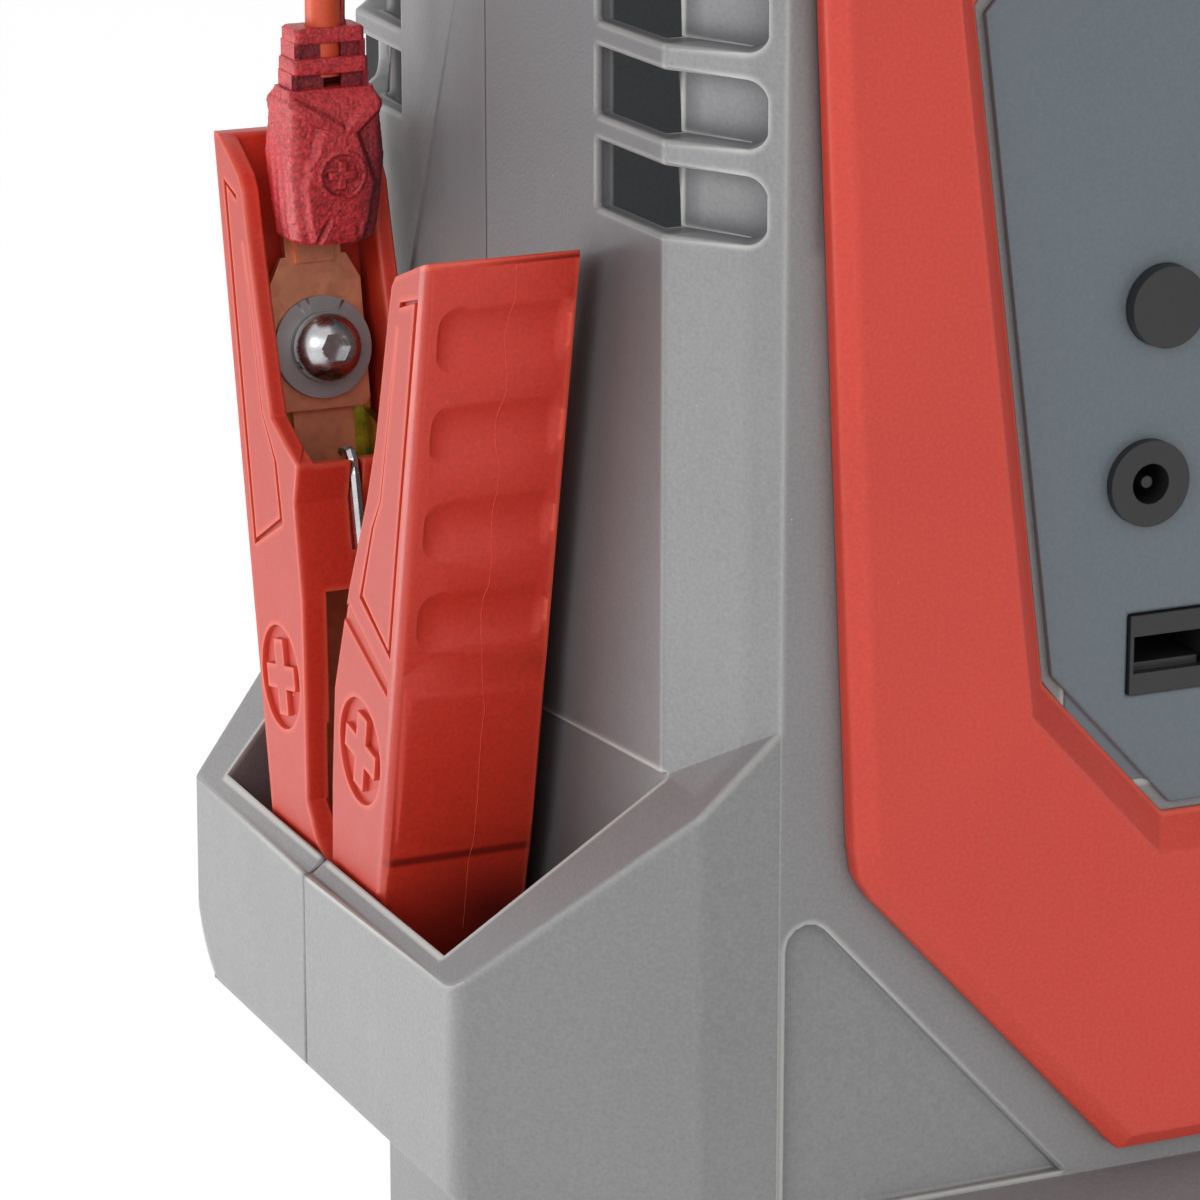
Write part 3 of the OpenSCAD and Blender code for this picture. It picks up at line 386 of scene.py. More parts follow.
def moulded(name, base, roughness, grain_mm, grain_depth, mottle, dust, edge_mm, specular=0.5,
            hollow_shade=None, reach_mm=3, edge_highlight=None, glints=0.0, painted_light_and_marks=None):
    """Moulded plastic: fine grain, slow colour variation, a few specks of dust and soft edges.

    In colours given, it can paint shade into hollows, a highlight along outward edges apart from
    the seam between the shells, and small bright glints. Details adds what one kind of piece has
    of its own, mostly painted shade."""
    s = Shade(name, base, roughness, specular=specular)
    if edge_mm:
        s.soft_edges(edge_mm)
    s.tint(s.ramp(s.noise(CLOUD_MM, detail=3), 0.35, 0.65), scaled(base, 1 - mottle))
    fine = s.noise(MOTTLE_MM, detail=2)
    s.tint(s.ramp(fine, 0.45, 0.75, 0, 0.7), scaled(base, 1 + MOTTLE_GAIN * mottle))
    s.tint(s.ramp(fine, 0.45, 0.25, 0, 0.7), scaled(base, 1 - MOTTLE_GAIN * mottle))
    # A kind of piece's own painted shade and light, and its own marks
    if painted_light_and_marks:
        painted_light_and_marks(s)
    # Painted shade: hollows darker, where ambient occlusion finds them
    if hollow_shade:
        s.tint(s.times(s.hollows(reach_mm), HOLLOW_SHADE_STRENGTH), hollow_shade)
    # Painted highlight: outward edges lighter, apart from the seam
    if edge_highlight:
        off_seam = s.ramp(s.off_middle(Y), 0.8, 2.0, 0, HIGHLIGHT_STRENGTH)
        s.tint(s.times(s.edges(EDGE_REACH), off_seam), edge_highlight)
    # Painted glints: small bright specks in the base colour
    if glints:
        glint_spots = s.ramp(s.noise(GLINT_MM, detail=1, rough=0.4), 0.58, 0.72)
        s.tint(s.times(glint_spots, glints), scaled(base, GLINT_GAIN))
    if dust:
        dots = s.ramp(s.cells(DUST_MM), 0.035, 0.022)
        dusty = s.ramp(s.noise(DUST_AREA_MM, detail=1), 0.56, 0.6)
        s.tint(s.times(dots, dusty, dust), DUST_COLOUR)
    s.rough(s.noise(GLOSS_MM, detail=4), roughness - 0.06, roughness + 0.08)
    s.bump(s.noise(grain_mm, detail=2, rough=0.6), grain_depth)
    s.bump(s.noise(WAVE_MM, detail=2), WAVE_DEPTH, WAVE_STRENGTH)
    return s.material


def metal(name, base, roughness, edge_mm=0.1, tone=0.2, blotch=None):
    """Bare or plated metal: fine bump, tone and roughness that vary, and stains."""
    s = Shade(name, base, roughness, metallic=1.0)
    s.soft_edges(edge_mm)
    s.tint(s.ramp(s.noise(3.5, detail=5), 0.35, 0.7), scaled(base, 1 - tone))
    if blotch:
        s.tint(s.ramp(s.noise(2.2, detail=4, distortion=0.6), 0.5, 0.66, 0, 0.8), blotch)
    s.rough(s.noise(1.3, detail=4), roughness - 0.08, roughness + 0.14)
    s.bump(s.noise(0.35, detail=3, vector=s.stretched(1, 1, 1)), 0.008)
    return s.material


# Parts of the housing where shade and a faint glow are painted, in millimetres from the
# pack's middle or from the floor
WALL_X, WALL_END_Y, WALL_FOOT = (107, 117.5), (59.2, 57.6), (108, 112)
INNER_X, INNER_Y, INNER_Z = (-5, 112.4), (71, 69), (120, 292)
SLOTS_X, SLOTS_Z = (96, 117), (236, 291)
RIM_Y, RIM_X, RIM_Z = (4, -6), (124, 114), (186, 178)
CLAMP_SHADOW_REACH, SLOT_SHADE_REACH = 75, 7


def housing_painted_light(s):
    """Painted shade: the side walls darker and warmer, most of all in a painted shadow behind the
    clamps and in the slots.

    The holsters' rims get painted shade too, and the inside a faint painted glow, as if light came
    in through the slots."""
    across, depth, back, height = s.off_middle(X), s.off_middle(Y), s.along(Y), s.along(Z)
    wall = s.times(s.within(across, *WALL_X, 0.8), s.ramp(depth, *WALL_END_Y),
                   s.ramp(height, *WALL_FOOT))
    # Painted shade: the side walls darker, more so higher up and less towards the back
    wall_shade = s.times(s.ramp(height, 185, 245, 0.52, 0.84), s.ramp(back, 4, 26, 1, 0.3))
    s.tint(s.times(wall, wall_shade), lin(78, 77, 80))
    # Painted shadow of the clamps: the side walls warm and dark where ambient occlusion finds the
    # clamps, fading towards the back
    clamp_shadow = s.times(wall, s.hollows(CLAMP_SHADOW_REACH, 0.8, 0.3), s.ramp(back, 10, 22, 0.36, 0.08))
    s.tint(clamp_shadow, lin(66, 55, 56))
    # Painted light: a faint bluish glow on the inside, as if light came in through the slots
    inner = s.times(s.within(across, *INNER_X, 0.2), s.ramp(depth, *INNER_Y),
                    s.within(height, *INNER_Z, 4))
    s.bsdf.inputs["Emission Color"].default_value = (0.9, 0.94, 1, 1)
    s.link(s.times(inner, 0.03), s.bsdf.inputs["Emission Strength"])
    # Painted shade on the upward faces of the holsters' rims, towards the front and the body
    near = s.math("MAXIMUM", s.ramp(back, *RIM_Y), s.ramp(across, *RIM_X))
    rim_shade = s.times(s.facing(Z, 0.5, 0.85), near, s.ramp(height, *RIM_Z), 0.5)
    s.tint(rim_shade, lin(92, 82, 84))
    # Painted shade: the slots darker inside, where ambient occlusion finds them
    slots = s.times(s.within(height, *SLOTS_Z, 1), s.within(across, *SLOTS_X, 0.5))
    s.tint(s.times(slots, s.hollows(SLOT_SHADE_REACH, 0.8, 0.4)), lin(44, 44, 47))


# Places on the front handle, in millimetres from its pivot: the heights where the painted shadow
# on its foot fades and where the painted shade along a moulded step is, and how far out its back
# starts
FOOT_FADE = (22, 12)
STEP_SHADE = (21.7, 23.1)
BACK_DEPTH = (11, 12.5)


def front_handle_painted_shade(s):
    """Painted shade on the front handle: a dark line along a moulded step across its back above
    the pivot, a painted shadow on the foot and a darker cheek.
    """
    pivot = (0, PIVOT_Y, PIVOT_Z)
    height = s.along((0, -math.sin(SPLAY), math.cos(SPLAY)), pivot)
    depth = s.along((0, -math.cos(SPLAY), -math.sin(SPLAY)), pivot)
    back = s.times(s.ramp(depth, *BACK_DEPTH), s.facing(FRONT, 0.3, 0.6))
    # Painted shadow on the lower part of the handle's back, on the side towards the pack
    foot = s.times(s.ramp(height, *FOOT_FADE), s.ramp(s.along(X, RED_CLAMP), -9, 6))
    s.tint(s.times(foot, back, 0.8), lin(70, 18, 16))
    # Painted shade: a dark line along the moulded step across the back
    s.tint(s.times(s.within(height, *STEP_SHADE, 0.35), back, 0.8), lin(104, 20, 16))
    # Painted shade: the cheek that faces left darker
    s.tint(s.times(s.facing(LEFT), 0.5), lin(150, 38, 18))


# The boot's windows, and the flank below its raised arms, where shade is painted, in millimetres
UPPER_WINDOW, LOWER_WINDOW = (249.2, 251.2), (244.5, 246.5)
FLANK_Z, FLANK_X = (241, 237), (2.4, 4.6)


def boot_mottle_and_shade(s):
    """Worn mottle, and painted shade: the windows and the faces towards the pack and below the
    arms are darker.
    """
    height = s.along(Z)
    # Painted shade: faces towards the pack darker
    s.tint(s.times(s.facing(X, 0.1, 0.5), 0.8), lin(92, 20, 30))
    s.tint(s.times(s.ramp(s.noise(1.1, detail=4, rough=0.7), 0.5, 0.62), 0.42), lin(118, 22, 36))
    # Painted shade below the raised arms
    flank = s.times(s.ramp(height, *FLANK_Z), s.ramp(s.along(X, RED_CLAMP), *FLANK_X), 0.62)
    s.tint(flank, lin(84, 16, 28))
    # Painted shade: the windows darker on their front
    windows = s.math("MAXIMUM", s.within(height, *UPPER_WINDOW, 0.15),
                     s.within(height, *LOWER_WINDOW, 0.15))
    s.tint(s.times(windows, s.facing(FRONT, 0.6, 0.85), 0.72), lin(88, 18, 32))


# Plastics, after the name and colour: roughness, size and depth of the grain in millimetres,
# mottle, dust, radius of the soft edges in millimetres, specular
M = {
    "housing_grey": moulded("housing_grey", lin(138, 138, 139), 0.42, 0.55, 0.07, 0.07, 0.35, 0.6,
                            hollow_shade=lin(84, 82, 84), reach_mm=5, edge_highlight=lin(212, 211, 206),
                            painted_light_and_marks=housing_painted_light),
    "frame_red": moulded("frame_red", lin(212, 66, 50), 0.42, 0.8, 0.05, 0.07, 0.3, 0.6,
                         hollow_shade=lin(140, 30, 24), edge_highlight=lin(236, 104, 80)),
    "panel_grey": moulded("panel_grey", lin(104, 114, 120), 0.4, 0.5, 0.015, 0.05, 0.2, 0.4),
    "black_plastic": moulded("black_plastic", lin(33, 33, 35), 0.4, 0.4, 0.02, 0.1, 0.4, 0.3),
    "display": moulded("display", lin(14, 17, 20), 0.12, 0.8, 0.002, 0.1, 0.15, 0.3),
    "circuit": moulded("circuit", lin(24, 74, 44), 0.3, 0.8, 0.01, 0.15, 0.2, 0.1),
    "rubber_black": moulded("rubber_black", lin(30, 30, 31), 0.72, 0.35, 0.04, 0.15, 0.5, 0.4,
                            0.35),
    "battery_case": moulded("battery_case", lin(38, 38, 41), 0.5, 0.5, 0.03, 0.1, 0.3, 0.4),
    "clamp_red": moulded("clamp_red", lin(209, 53, 36), 0.36, 0.7, 0.03, 0.08, 0.7, 0.35, 0.45,
                         hollow_shade=lin(150, 22, 14), reach_mm=1.6, edge_highlight=lin(232, 96, 70),
                         painted_light_and_marks=front_handle_painted_shade),
    "clamp_black": moulded("clamp_black", lin(30, 30, 32), 0.34, 0.7, 0.012, 0.1, 0.5, 0.35, 0.6),
    "cable_red": moulded("cable_red", lin(214, 80, 44), 0.4, 0.7, 0.006, 0.05, 0.2, 0),
    "cable_black": moulded("cable_black", lin(30, 30, 31), 0.42, 0.7, 0.006, 0.08, 0.3, 0),
    "boot_wine": moulded("boot_wine", lin(196, 53, 58), 0.42, 0.5, 0.2, 0.3, 0.4, 0,
                         hollow_shade=lin(70, 14, 24), reach_mm=2.2, glints=0.22,
                         painted_light_and_marks=boot_mottle_and_shade),
    "boot_black": moulded("boot_black", lin(34, 33, 34), 0.5, 0.5, 0.16, 0.3, 0.4, 0, glints=0.3),
    "flash_red": moulded("flash_red", lin(236, 104, 84), 0.4, 0.3, 0.02, 0.1, 0.6, 0),
    "steel": metal("steel", lin(190, 190, 192), 0.24),
    "washer_steel": metal("washer_steel", lin(168, 167, 168), 0.5, tone=0.08),
    "copper": metal("copper", lin(228, 160, 126), 0.5, 0.12, 0.18, lin(206, 140, 108)),
    "zinc": metal("zinc", lin(190, 176, 84), 0.3, 0.12, 0.35, lin(104, 128, 66)),
    "reflector": metal("reflector", lin(226, 226, 228), 0.14),
}
lens = Shade("clear_lens", lin(235, 240, 243), 0.12)
lens.bsdf.inputs["Transmission Weight"].default_value = 0.9
lens.bump(lens.noise(0.8), 0.01)
M["clear_lens"] = lens.material

# Nodes that look otherwise than the rest of their slot
FINISH = {"red_washers": "washer_steel", "black_washers": "washer_steel"}


# ---- CAD nodes ----
WELD = 2e-6
FLAT = math.radians(0.3)
BEVEL_STEPS = 3
BEVEL_ROUNDS = 9
# Shortest edge that is rounded, and how far round a fold edges are left sharp, in radii
SHORTEST, FOLD_REACH = 4, 1.6
# Areas in square metres: a face that counts, one whose corners count too, and what may stay folded
FACE_AREA, LARGE_AREA, FOLDED_AREA = 2e-10, 5e-8, 1e-6
# How much a rounded mesh may differ from its solid, as shares
AREA_CHANGE, LEAST_VOLUME, MOST_VOLUME = 0.03, 0.97, 1.004
# The upright front corner of a holster, in metres, and its round
CORNER_X, CORNER_Y, CORNER_LENGTH = 143 * MM, -50 * MM, 10 * MM
CORNER_RADIUS, CORNER_STEPS = 2.2 * MM, 4


def between(rows, v):
    """The row of a table at v, worked out between the two rows beside it."""
    for low, high in zip(rows, rows[1:]):
        if v <= high[0]:
            break
    t = min(max((v - low[0]) / (high[0] - low[0]), 0), 1)
    return [a + (b - a) * t for a, b in zip(low[1:], high[1:])]


def step(low, high, v):
    """A smooth step from 0 at low to 1 at high."""
    t = min(max((v - low) / (high - low), 0), 1)
    return t * t * (3 - 2 * t)


def body_of(name):
    return NODES[name].parent.name.split(":")[1]


def dress(name):
    """A CAD node that is shown as it is, with its material."""
    o = NODES[name]
    o.data.materials.clear()
    o.data.materials.append(M[FINISH.get(name, SLOT[name])])
    o.modifiers.new("weld", "WELD").merge_threshold = WELD
    weighted(o)
    return o


def ready(name):
    """A node's mesh, welded, with its flat triangles joined."""
    bm = bmesh.new()
    bm.from_mesh(NODES[name].data)
    bmesh.ops.remove_doubles(bm, verts=bm.verts, dist=WELD)
    bmesh.ops.dissolve_limit(bm, angle_limit=FLAT, verts=bm.verts, edges=bm.edges)
    return bm


def bevel(bm, edges, radius, steps):
    bmesh.ops.bevel(bm, geom=edges, offset=radius, offset_type="OFFSET", segments=steps,
                    profile=0.5, affect="EDGES", clamp_overlap=False, loop_slide=True, material=0)


def surface(bm):
    return sum(f.calc_area() for f in bm.faces)


def sound(bm, area, volume, low, high):
    """Whether a mesh is closed, inside its node's box and close to the solid it was made from."""
    reach = 1e-6
    closed = all(len(e.link_faces) == 2 for e in bm.edges)
    held = all(low[i] - reach <= v.co[i] <= high[i] + reach for v in bm.verts for i in range(3))
    same_area = abs(surface(bm) / area - 1) < AREA_CHANGE
    return closed and held and same_area and LEAST_VOLUME < bm.calc_volume() / volume < MOST_VOLUME


def plane(face, angle):
    """Whether a face mostly ends at sharp edges, so that it isn't a part of a curved surface."""
    soft = sum(e.calc_length() for e in face.edges if FLAT < e.calc_face_angle(0) < angle)
    return soft < 0.3 * face.calc_perimeter()


def soften_corner(bm):
    """A wider round on the upright front corner of each holster."""
    upright = []
    for e in bm.edges:
        a, b = (v.co for v in e.verts)
        outer = min(abs(a.x), abs(b.x)) > CORNER_X and max(a.y, b.y) < CORNER_Y
        if outer and abs(a.z - b.z) > 0.9 * (a - b).length and e.calc_length() > CORNER_LENGTH:
            upright.append(e)
    bevel(bm, upright, CORNER_RADIUS, CORNER_STEPS)


def folded(bm, tree):
    """Points of the faces that look the other way than the solid does there, and their area."""
    out, area = [], 0
    for f in bm.faces:
        if f.calc_area() > FACE_AREA:
            middle = f.calc_center_median()
            if f.normal.dot(tree.find_nearest(middle)[1]) < -0.3:
                out.append(middle)
                if f.calc_area() > LARGE_AREA:
                    out += [v.co.copy() for v in f.verts]
                area += f.calc_area()
    return out, area


def to_edge(m, p, q):
    """Distance from point m to the straight line between p and q."""
    t = min(max((m - p).dot(q - p) / max((q - p).length_squared, 1e-12), 0), 1)
    return (p + (q - p) * t - m).length


def rounding(name, radius, angle):
    """A node's mesh with its long sharp edges rounded, or None where no sound mesh comes out.

    Edges near a fold stay sharp in the next round. Planes are marked as flat faces."""
    low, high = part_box(name)
    kept = set()
    for _ in range(BEVEL_ROUNDS):
        bm = ready(name)
        if name == "front_housing":
            soften_corner(bm)
        area, volume = surface(bm), bm.calc_volume()
        tree = BVHTree.FromBMesh(bm)
        ends = [[v.co.copy() for v in e.verts] for e in bm.edges]
        edges = [e for e in bm.edges
                 if len(e.link_faces) == 2 and e.calc_length() > SHORTEST * radius
                 and e.calc_face_angle() > angle and e.index not in kept]
        for f in bm.faces:
            f.material_index = plane(f, angle)
        bevel(bm, edges, radius, BEVEL_STEPS)
        for f in bm.faces:
            f.smooth = f.material_index == 0
            f.material_index = 0
        wide = [f for f in bm.faces if len(f.verts) > 4]
        bmesh.ops.triangulate(bm, faces=wide, ngon_method="EAR_CLIP")
        bad, bad_area = folded(bm, tree)
        near = {i for i, (p, q) in enumerate(ends)
                if any(to_edge(m, p, q) < FOLD_REACH * radius for m in bad)}
        if near <= kept:
            break
        kept |= near
        bm.free()
    else:
        return None
    for v in bm.verts:
        v.co = [min(max(v.co[i], low[i]), high[i]) for i in range(3)]
    if bad_area < FOLDED_AREA and sound(bm, area, volume, low, high):
        return bm
    bm.free()
    return None


def rounded(name, radii, angle_deg):
    """A copy of a CAD node with rounded edges, which replaces it.

    The first radius in millimetres that gives a sound mesh is used."""
    for radius in radii:
        bm = rounding(name, radius * MM, math.radians(angle_deg))
        if bm:
            break
    else:
        return dress(name)
    o = piece(f"{name}_rounded", bm, body_of(name), SLOT[name], planes=True)
    o.data.materials.append(M[SLOT[name]])
    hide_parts(name)
    return o


# Nodes to round, the radii to try in millimetres, and the angle from which an edge is sharp
ROUNDED = [
    (["front_housing", "rear_housing"], (0.6, 0.5, 0.42, 0.35), SHARP),
    (["front_frame", "control_panel", "power_knob", "outlet_cap", "handle_grip", "display_window",
      "cable_clips"], (0.5, 0.35, 0.25, 0.15), SHARP),
    ([f"{colour}_{end}_handle" for colour in SIDE for end in ("rear", "front")],
     (0.45, 0.35, 0.25, 0.15), 38),
]
SHELLS = {node: rounded(node, radii, angle) for nodes, radii, angle in ROUNDED for node in nodes}
REPLACED = ["red_cable", "black_cable", "red_boot", "black_boot"]
for node in NODES:
    if node not in SHELLS and node not in REPLACED:
        dress(node)
for colour, cable in LEADS.items():
    cable.data.materials.append(M[f"cable_{colour}"])


# ---- boots over the leads, in millimetres from their middle and from the floor ----
BOOT_MATERIAL = {"red": M["boot_wine"], "black": M["boot_black"]}
# height, half width, half depth and corner radius of the boot's plain form
BOOT_FORM = [
    (220.6, 6.1, 4.9, 2.0), (221.3, 6.8, 5.4, 2.0), (224, 7.15, 5.8, 2.1), (230, 7.6, 6.3, 2.1),
    (234, 7.9, 6.6, 2.0), (238.0, 7.5, 6.2, 1.6), (240.2, 7.25, 6.0, 1.2), (241.1, 7.55, 5.8, 1.1),
    (242.5, 7.5, 5.1, 1.1), (243.0, 7.1, 4.7, 1.0), (244.4, 7.0, 3.4, 0.9),
]
BOOT_LEVELS = 127
# height and half width of the raised pad
PAD_FORM = [(220.6, 3.8), (224.6, 4.8), (230, 5.6), (233.8, 4.2), (238.2, 2.8), (250, 2.8)]
# ends of the raised arms' middle lines
ARMS = ((6.9, 242.4, -4.3, 232.9), (-6.9, 242.4, 0, 238.4))
# x at the start, lean and depth of the creases in the foot
CREASES = ((-1.3, 0.45, 0.5), (-6.6, 0.2, 0.4), (2.6, -0.2, 0.25))
ARM_HEIGHT, UNDERCUT = 0.6, 0.45
FLUTE_DEPTH, FLUTE_PITCH = 0.16, 2.6
# middle of the mark, its bars' half length and half width, and how deep it lies
MARK_X, MARK_Z, BAR_LENGTH, BAR_WIDTH, MARK_DEPTH = 0.3, 231.5, 2.2, 0.66, 0.7
# lower and upper end, half width and half depth of the collars
COLLARS = ((246.6, 249.1, 6.2, 3.5), (251.3, 253.7, 5.75, 3.2))
LEAD_HOLE_R = 2.75
# lower and upper end and half width of the two rows of windows
WINDOWS = ((244.2, 246.9, 6.3), (248.8, 251.6, 5.8))
WALL, WALL_DEPTH = 0.9, 2.9
SLEEVE_Y = (2.15, 2.35)
# middle line and radii of the thin strand at the collar
STRAND = [(3.0, 0, 253.3), (3.05, 0, 254.6), (3.25, -0.1, 258), (3.6, -0.2, 261),
          (3.65, -0.3, 264), (3.4, -0.2, 267), (2.9, -0.1, 269.6)]
STRAND_R = [1.0, 0.6, 0.42, 0.4, 0.4, 0.38, 0.3]


def boot_point(colour, x, y, z):
    return Vector((SIDE[colour] * (CLAMP_X - x), LEAD_Y + y, z)) * MM


def to_segment(px, pz, ax, az, bx, bz):
    t = ((px - ax) * (bx - ax) + (pz - az) * (bz - az)) / ((bx - ax) ** 2 + (bz - az) ** 2)
    t = min(max(t, 0), 1)
    return math.hypot(px - ax - t * (bx - ax), pz - az - t * (bz - az))


def boot_relief(x, z, plus):
    """How far the boot's front stands proud of its plain form: arms, pad, creases and mark."""
    ridge = step(1.5, 0.6, min(to_segment(x, z, *arm) for arm in ARMS))
    half = between(PAD_FORM, z)[0]
    pad = step(half + 0.8, half - 0.4, abs(x)) * step(239.5, 237.5, z)
    under = step(0, -1.2, z - 238.2 - 0.62 * abs(x))
    h = ARM_HEIGHT * max(ridge, pad) - UNDERCUT * under * (1 - max(ridge, pad))
    for start, lean, depth in CREASES:
        h -= depth * step(226, 222, z) * step(0.8, 0.1, abs(x - start + lean * (225.5 - z)))
    dx, dz = x - MARK_X, z - MARK_Z
    r = math.hypot(dx, dz)
    h += 0.18 * step(4.1, 3.7, r) * step(3.1, 3.4, r)
    bar = max(abs(dx) - BAR_LENGTH, abs(dz) - BAR_WIDTH)
    if plus:
        bar = min(bar, max(abs(dz) - BAR_LENGTH, abs(dx) - BAR_WIDTH))
    return h - MARK_DEPTH * step(3.35, 3.1, r) * step(-0.1, 0.15, bar)


def rounded_ring(a, b, r, wide, deep, arc):
    """A rounded rectangle's points and outward normals.

    Wide, deep and arc are the steps along its long and short sides and its rounds."""
    out = []
    corners = [(a - r, r - b, -90), (a - r, b - r, 0), (r - a, b - r, 90), (r - a, r - b, 180)]
    counts = [deep, wide, deep, wide]
    for i, (cx, cy, start) in enumerate(corners):
        for k in range(arc + 1):
            t = math.radians(start + 90 * k / arc)
            out.append((cx + r * math.cos(t), cy + r * math.sin(t), math.cos(t), math.sin(t)))
        nx, ny, _ = corners[(i + 1) % 4]
        t = math.radians(start + 90)
        p = (cx + r * math.cos(t), cy + r * math.sin(t))
        q = (nx + r * math.cos(t), ny + r * math.sin(t))
        for k in range(1, counts[i]):
            f = k / counts[i]
            x, y = (p[j] + (q[j] - p[j]) * f for j in range(2))
            out.append((x, y, math.cos(t), math.sin(t)))
    return out


def boot_body(bm, colour):
    """The boot's body with its raised arms, pad, mark, flutes and grain."""
    rings = []
    low, high = BOOT_FORM[0][0], BOOT_FORM[-1][0]
    for i in range(BOOT_LEVELS + 1):
        z = low + (high - low) * i / BOOT_LEVELS
        ring = []
        for x, y, nx, ny in rounded_ring(*between(BOOT_FORM, z), 72, 20, 6):
            if ny < 0:
                h = -ny * boot_relief(x, z, colour == "red")
            else:
                h = ny * boot_relief(x, z, False) * 0.6
            flute = math.cos(2 * math.pi * y / FLUTE_PITCH) * step(236, 228, z)
            h += abs(nx) * FLUTE_DEPTH * flute
            if 0 < i < BOOT_LEVELS:
                grain = Vector((x, y, z))
                h += 0.09 * noise.noise(grain / 0.5) + 0.05 * noise.noise(grain / 1.4)
            ring.append(boot_point(colour, x + nx * h, y + ny * h, z))
        rings.append(ring)
    skin(bm, rings)


def boot_collar(bm, colour, low, high, a, b):
    """A collar with the lead's hole."""
    rings = []
    for z, inset in ((low, 0.25), (low + 0.25, 0), (high - 0.35, 0), (high, 0.35)):
        ring = rounded_ring(a - inset, b - inset, 0.9, 24, 12, 5)
        rings.append([boot_point(colour, x + 0.05 * noise.noise(Vector((x, y, z)) / 0.6), y, z)
                      for x, y, _, _ in ring])
    hole = [math.atan2(y, x) for x, y, _, _ in ring]
    for z in (high, low):
        rings.append([boot_point(colour, LEAD_HOLE_R * math.cos(t), LEAD_HOLE_R * math.sin(t), z)
                      for t in hole])
    skin(bm, rings, close=False)


def boot_windows(bm, colour, low, high, a):
    """Side walls, the inner sleeve with its slot, and the thin rib across each window."""
    near, far = SLEEVE_Y
    for x0, x1, y0, y1 in (
        (-a, WALL - a, -WALL_DEPTH, WALL_DEPTH), (a - WALL, a, -WALL_DEPTH, WALL_DEPTH),
        (WALL - a, -0.9, -far, -near), (2.0, a - WALL, -far, -near),
        (WALL - a, a - WALL, near, far),
    ):
        corners = ((x0, y0), (x1, y0), (x1, y1), (x0, y1))
        skin(bm, [[boot_point(colour, x, y, z) for x, y in corners] for z in (low, high)])


def boot(colour):
    bm = bmesh.new()
    boot_body(bm, colour)
    for collar in COLLARS:
        boot_collar(bm, colour, *collar)
    for windows in WINDOWS:
        boot_windows(bm, colour, *windows)
    o = piece(f"{colour}_boot_moulding", bm, "pack", SLOT[f"{colour}_boot"], SHARP_ON_BOOT)
    o.data.materials.append(BOOT_MATERIAL[colour])
    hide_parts(f"{colour}_boot")


def boot_strand(colour):
    """The thin moulded strand that joins the boot's collar to the lead."""
    bm = bmesh.new()
    round_tube(bm, [boot_point(colour, *p) for p in STRAND], [r * MM for r in STRAND_R])
    o = piece(f"{colour}_boot_strand", bm, "pack", SLOT[f"{colour}_boot"], SHARP_ON_ROUND)
    o.data.materials.append(BOOT_MATERIAL[colour])


# ---- the mould's flash line down the back of each front handle ----
# x and height of the line's middle, in millimetres from the pivot, along the handle
FLASH = [
    (-2.2, 119), (-2.2, 113), (-1.5, 107), (-2, 99), (-1.1, 94), (-1.2, 91), (-1.9, 86),
    (-1.7, 81), (-1.8, 72), (-1.7, 68), (-1.2, 65), (-1.3, 59), (-1.8, 50), (-2.2, 46.8),
    (-2, 42), (-2.2, 34), (-2.3, 24), (-1.9, 21), (-2.1, 9),
]
FLASH_STEP, FLASH_SUNK, FLASH_START = 0.8, 0.15, 40


def flash_line(colour):
    """A thin ridge that follows the handle's back, found by a ray at each step of its height."""
    side = SIDE[colour]
    handle = SHELLS[f"{colour}_front_handle"].data
    tree = BVHTree.FromPolygons([v.co for v in handle.vertices],
                                [p.vertices for p in handle.polygons])

    def place(x, y, z):
        cos, sin = math.cos(SPLAY), math.sin(SPLAY)
        return Vector((side * (CLAMP_X + x), PIVOT_Y - y * cos - z * sin,
                       PIVOT_Z - y * sin + z * cos)) * MM

    inwards = (place(0, 0, 0) - place(0, 10, 0)).normalized()
    rows = []
    rising = sorted((z, x) for x, z in FLASH)
    z = rising[0][0]
    while z < rising[-1][0]:
        x = between(rising, z)[0] + 0.12 * noise.noise(Vector((0, 0, z)) / 2.2)
        hit = tree.ray_cast(place(x, FLASH_START, z), inwards)[0]
        if hit:
            proud = (0.07 + 0.06 * max(0, noise.noise(Vector((3, 0, z)) / 1.3))) * MM
            half = (0.07 + 0.03 * noise.noise(Vector((7, 0, z)) / 1.7)) * MM
            foot = hit + inwards * FLASH_SUNK * MM
            rows.append([foot + Vector((half, 0, 0)), hit - inwards * proud,
                         foot - Vector((half, 0, 0))])
        z += FLASH_STEP
    bm = bmesh.new()
    skin(bm, rows)
    slot = SLOT[f"{colour}_front_handle"]
    o = piece(f"{colour}_flash_line", bm, f"{colour}_grip", slot, SHARP_ON_ROUND)
    o.data.materials.append(M["flash_red"] if colour == "red" else M["clamp_black"])


for colour in SIDE:
    boot(colour)
    boot_strand(colour)
    flash_line(colour)


# ---- floor, background and light ----
# Strength of the plain white surroundings at the horizon and overhead
WORLD_SIDE, WORLD_TOP = 0.89, 0.34
WHITE = (1, 1, 1, 1)
FLOOR_HALF = 3
FLOOR_GLOW = 0.47


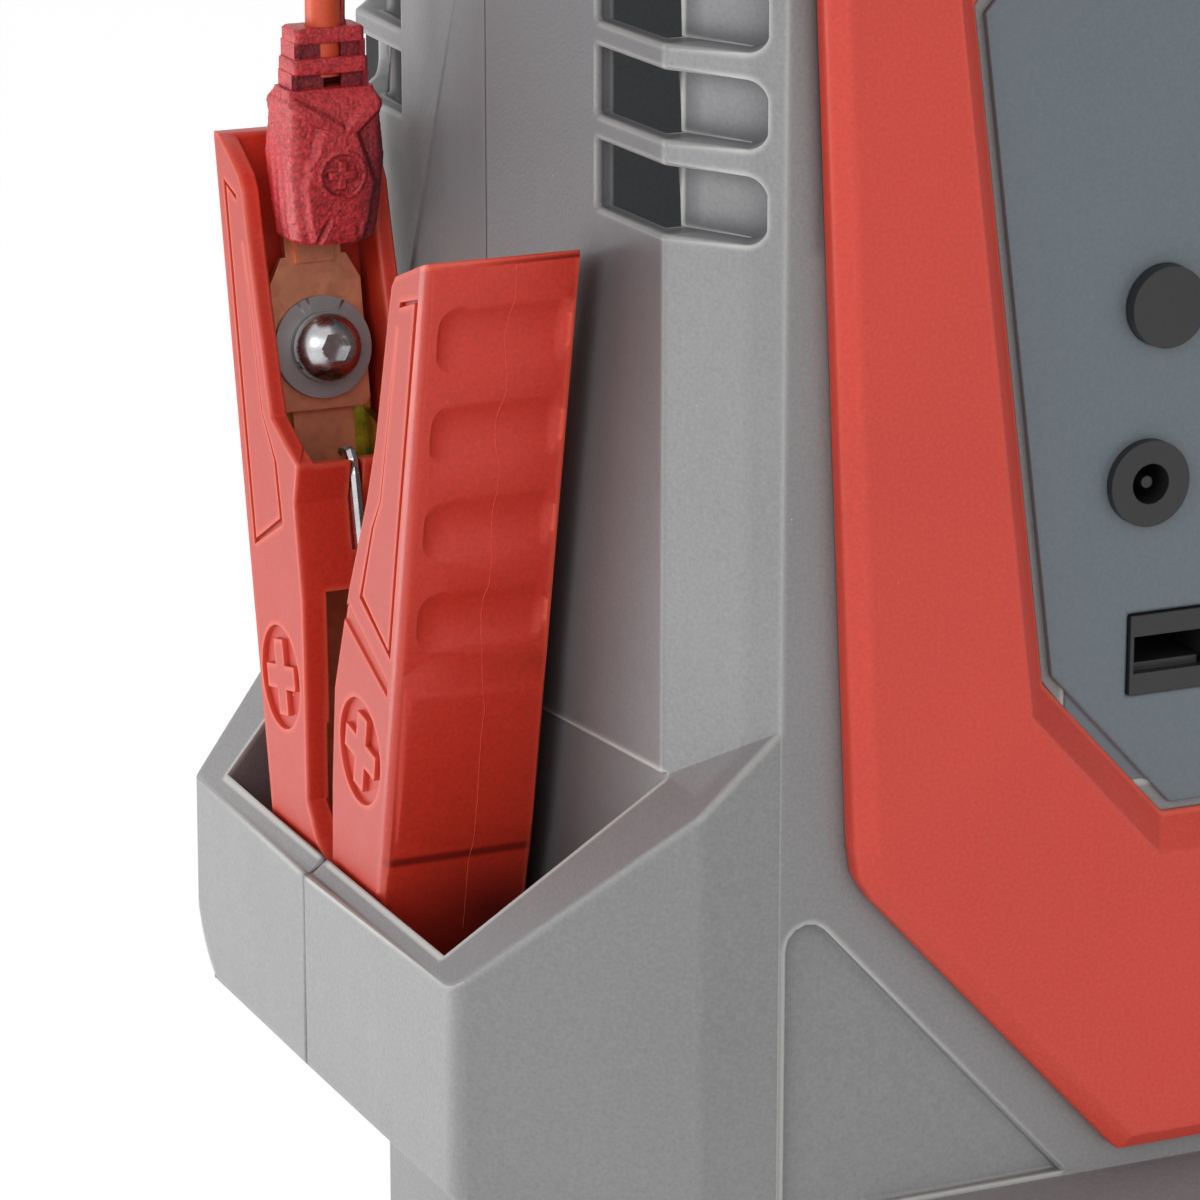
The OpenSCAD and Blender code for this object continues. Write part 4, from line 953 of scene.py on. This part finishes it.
def surroundings():
    """Plain white light from all round, and a white background for what is seen directly.

    That background is for the camera, for reflections and through glass."""
    world = bpy.data.worlds.new("studio")
    bpy.context.scene.world = world
    world.use_nodes = True
    world.node_tree.nodes.clear()
    add, link = world.node_tree.nodes.new, world.node_tree.links.new
    seen, light = add("ShaderNodeBackground"), add("ShaderNodeBackground")
    seen.inputs[0].default_value = light.inputs[0].default_value = WHITE
    seen.inputs[1].default_value = 1.0
    split, fade = add("ShaderNodeSeparateXYZ"), add("ShaderNodeMapRange")
    fade.inputs["To Min"].default_value = WORLD_SIDE
    fade.inputs["To Max"].default_value = WORLD_TOP
    link(add("ShaderNodeTexCoord").outputs["Generated"], split.inputs[0])
    link(split.outputs["Z"], fade.inputs["Value"])
    link(fade.outputs[0], light.inputs[1])
    path = add("ShaderNodeLightPath")
    direct = path.outputs["Is Camera Ray"]
    for ray in ("Is Glossy Ray", "Is Transmission Ray"):
        either = add("ShaderNodeMath")
        either.operation = "MAXIMUM"
        link(direct, either.inputs[0])
        link(path.outputs[ray], either.inputs[1])
        direct = either.outputs[0]
    mix = add("ShaderNodeMixShader")
    for socket, source in zip(mix.inputs, (direct, light.outputs[0], seen.outputs[0])):
        link(source, socket)
    link(mix.outputs[0], add("ShaderNodeOutputWorld").inputs[0])


def softbox(name, place, aim, width, height, power):
    data = bpy.data.lights.new(name, "AREA")
    data.shape = "RECTANGLE"
    data.size = width
    data.size_y = height
    data.energy = power
    o = bpy.data.objects.new(name, data)
    o.location = place
    o.rotation_euler = (Vector(aim) - Vector(place)).to_track_quat("-Z", "Y").to_euler()
    SCENE.objects.link(o)


surroundings()
softbox("key", (-0.5, 0.2, 0.05), (-0.14, 0, 0.13), 0.3, 0.3, 1.4)
softbox("upper", (-1.5, -0.9, 1.0), (-0.12, 0, 0.25), 0.8, 0.8, 6)
softbox("fill", (-0.9, -2.0, 1.2), (0, 0, 0.15), 1.4, 1.2, 5)

floor_mesh = bpy.data.meshes.new("floor")
corners = [(x * FLOOR_HALF, y * FLOOR_HALF, 0) for x, y in ((-1, -1), (1, -1), (1, 1), (-1, 1))]
floor_mesh.from_pydata(corners, [], [(0, 1, 2, 3)])
floor = bpy.data.objects.new("floor", floor_mesh)
SCENE.objects.link(floor)
paper = Shade("floor", (0.93, 0.93, 0.93, 1), 0.9, specular=0.1)
paper.bsdf.inputs["Emission Color"].default_value = WHITE
path = paper.add("ShaderNodeLightPath")
seen = paper.math("MAXIMUM", path.outputs["Is Camera Ray"], path.outputs["Is Glossy Ray"])
paper.link(paper.times(seen, FLOOR_GLOW), paper.bsdf.inputs["Emission Strength"])
floor_mesh.materials.append(paper.material)
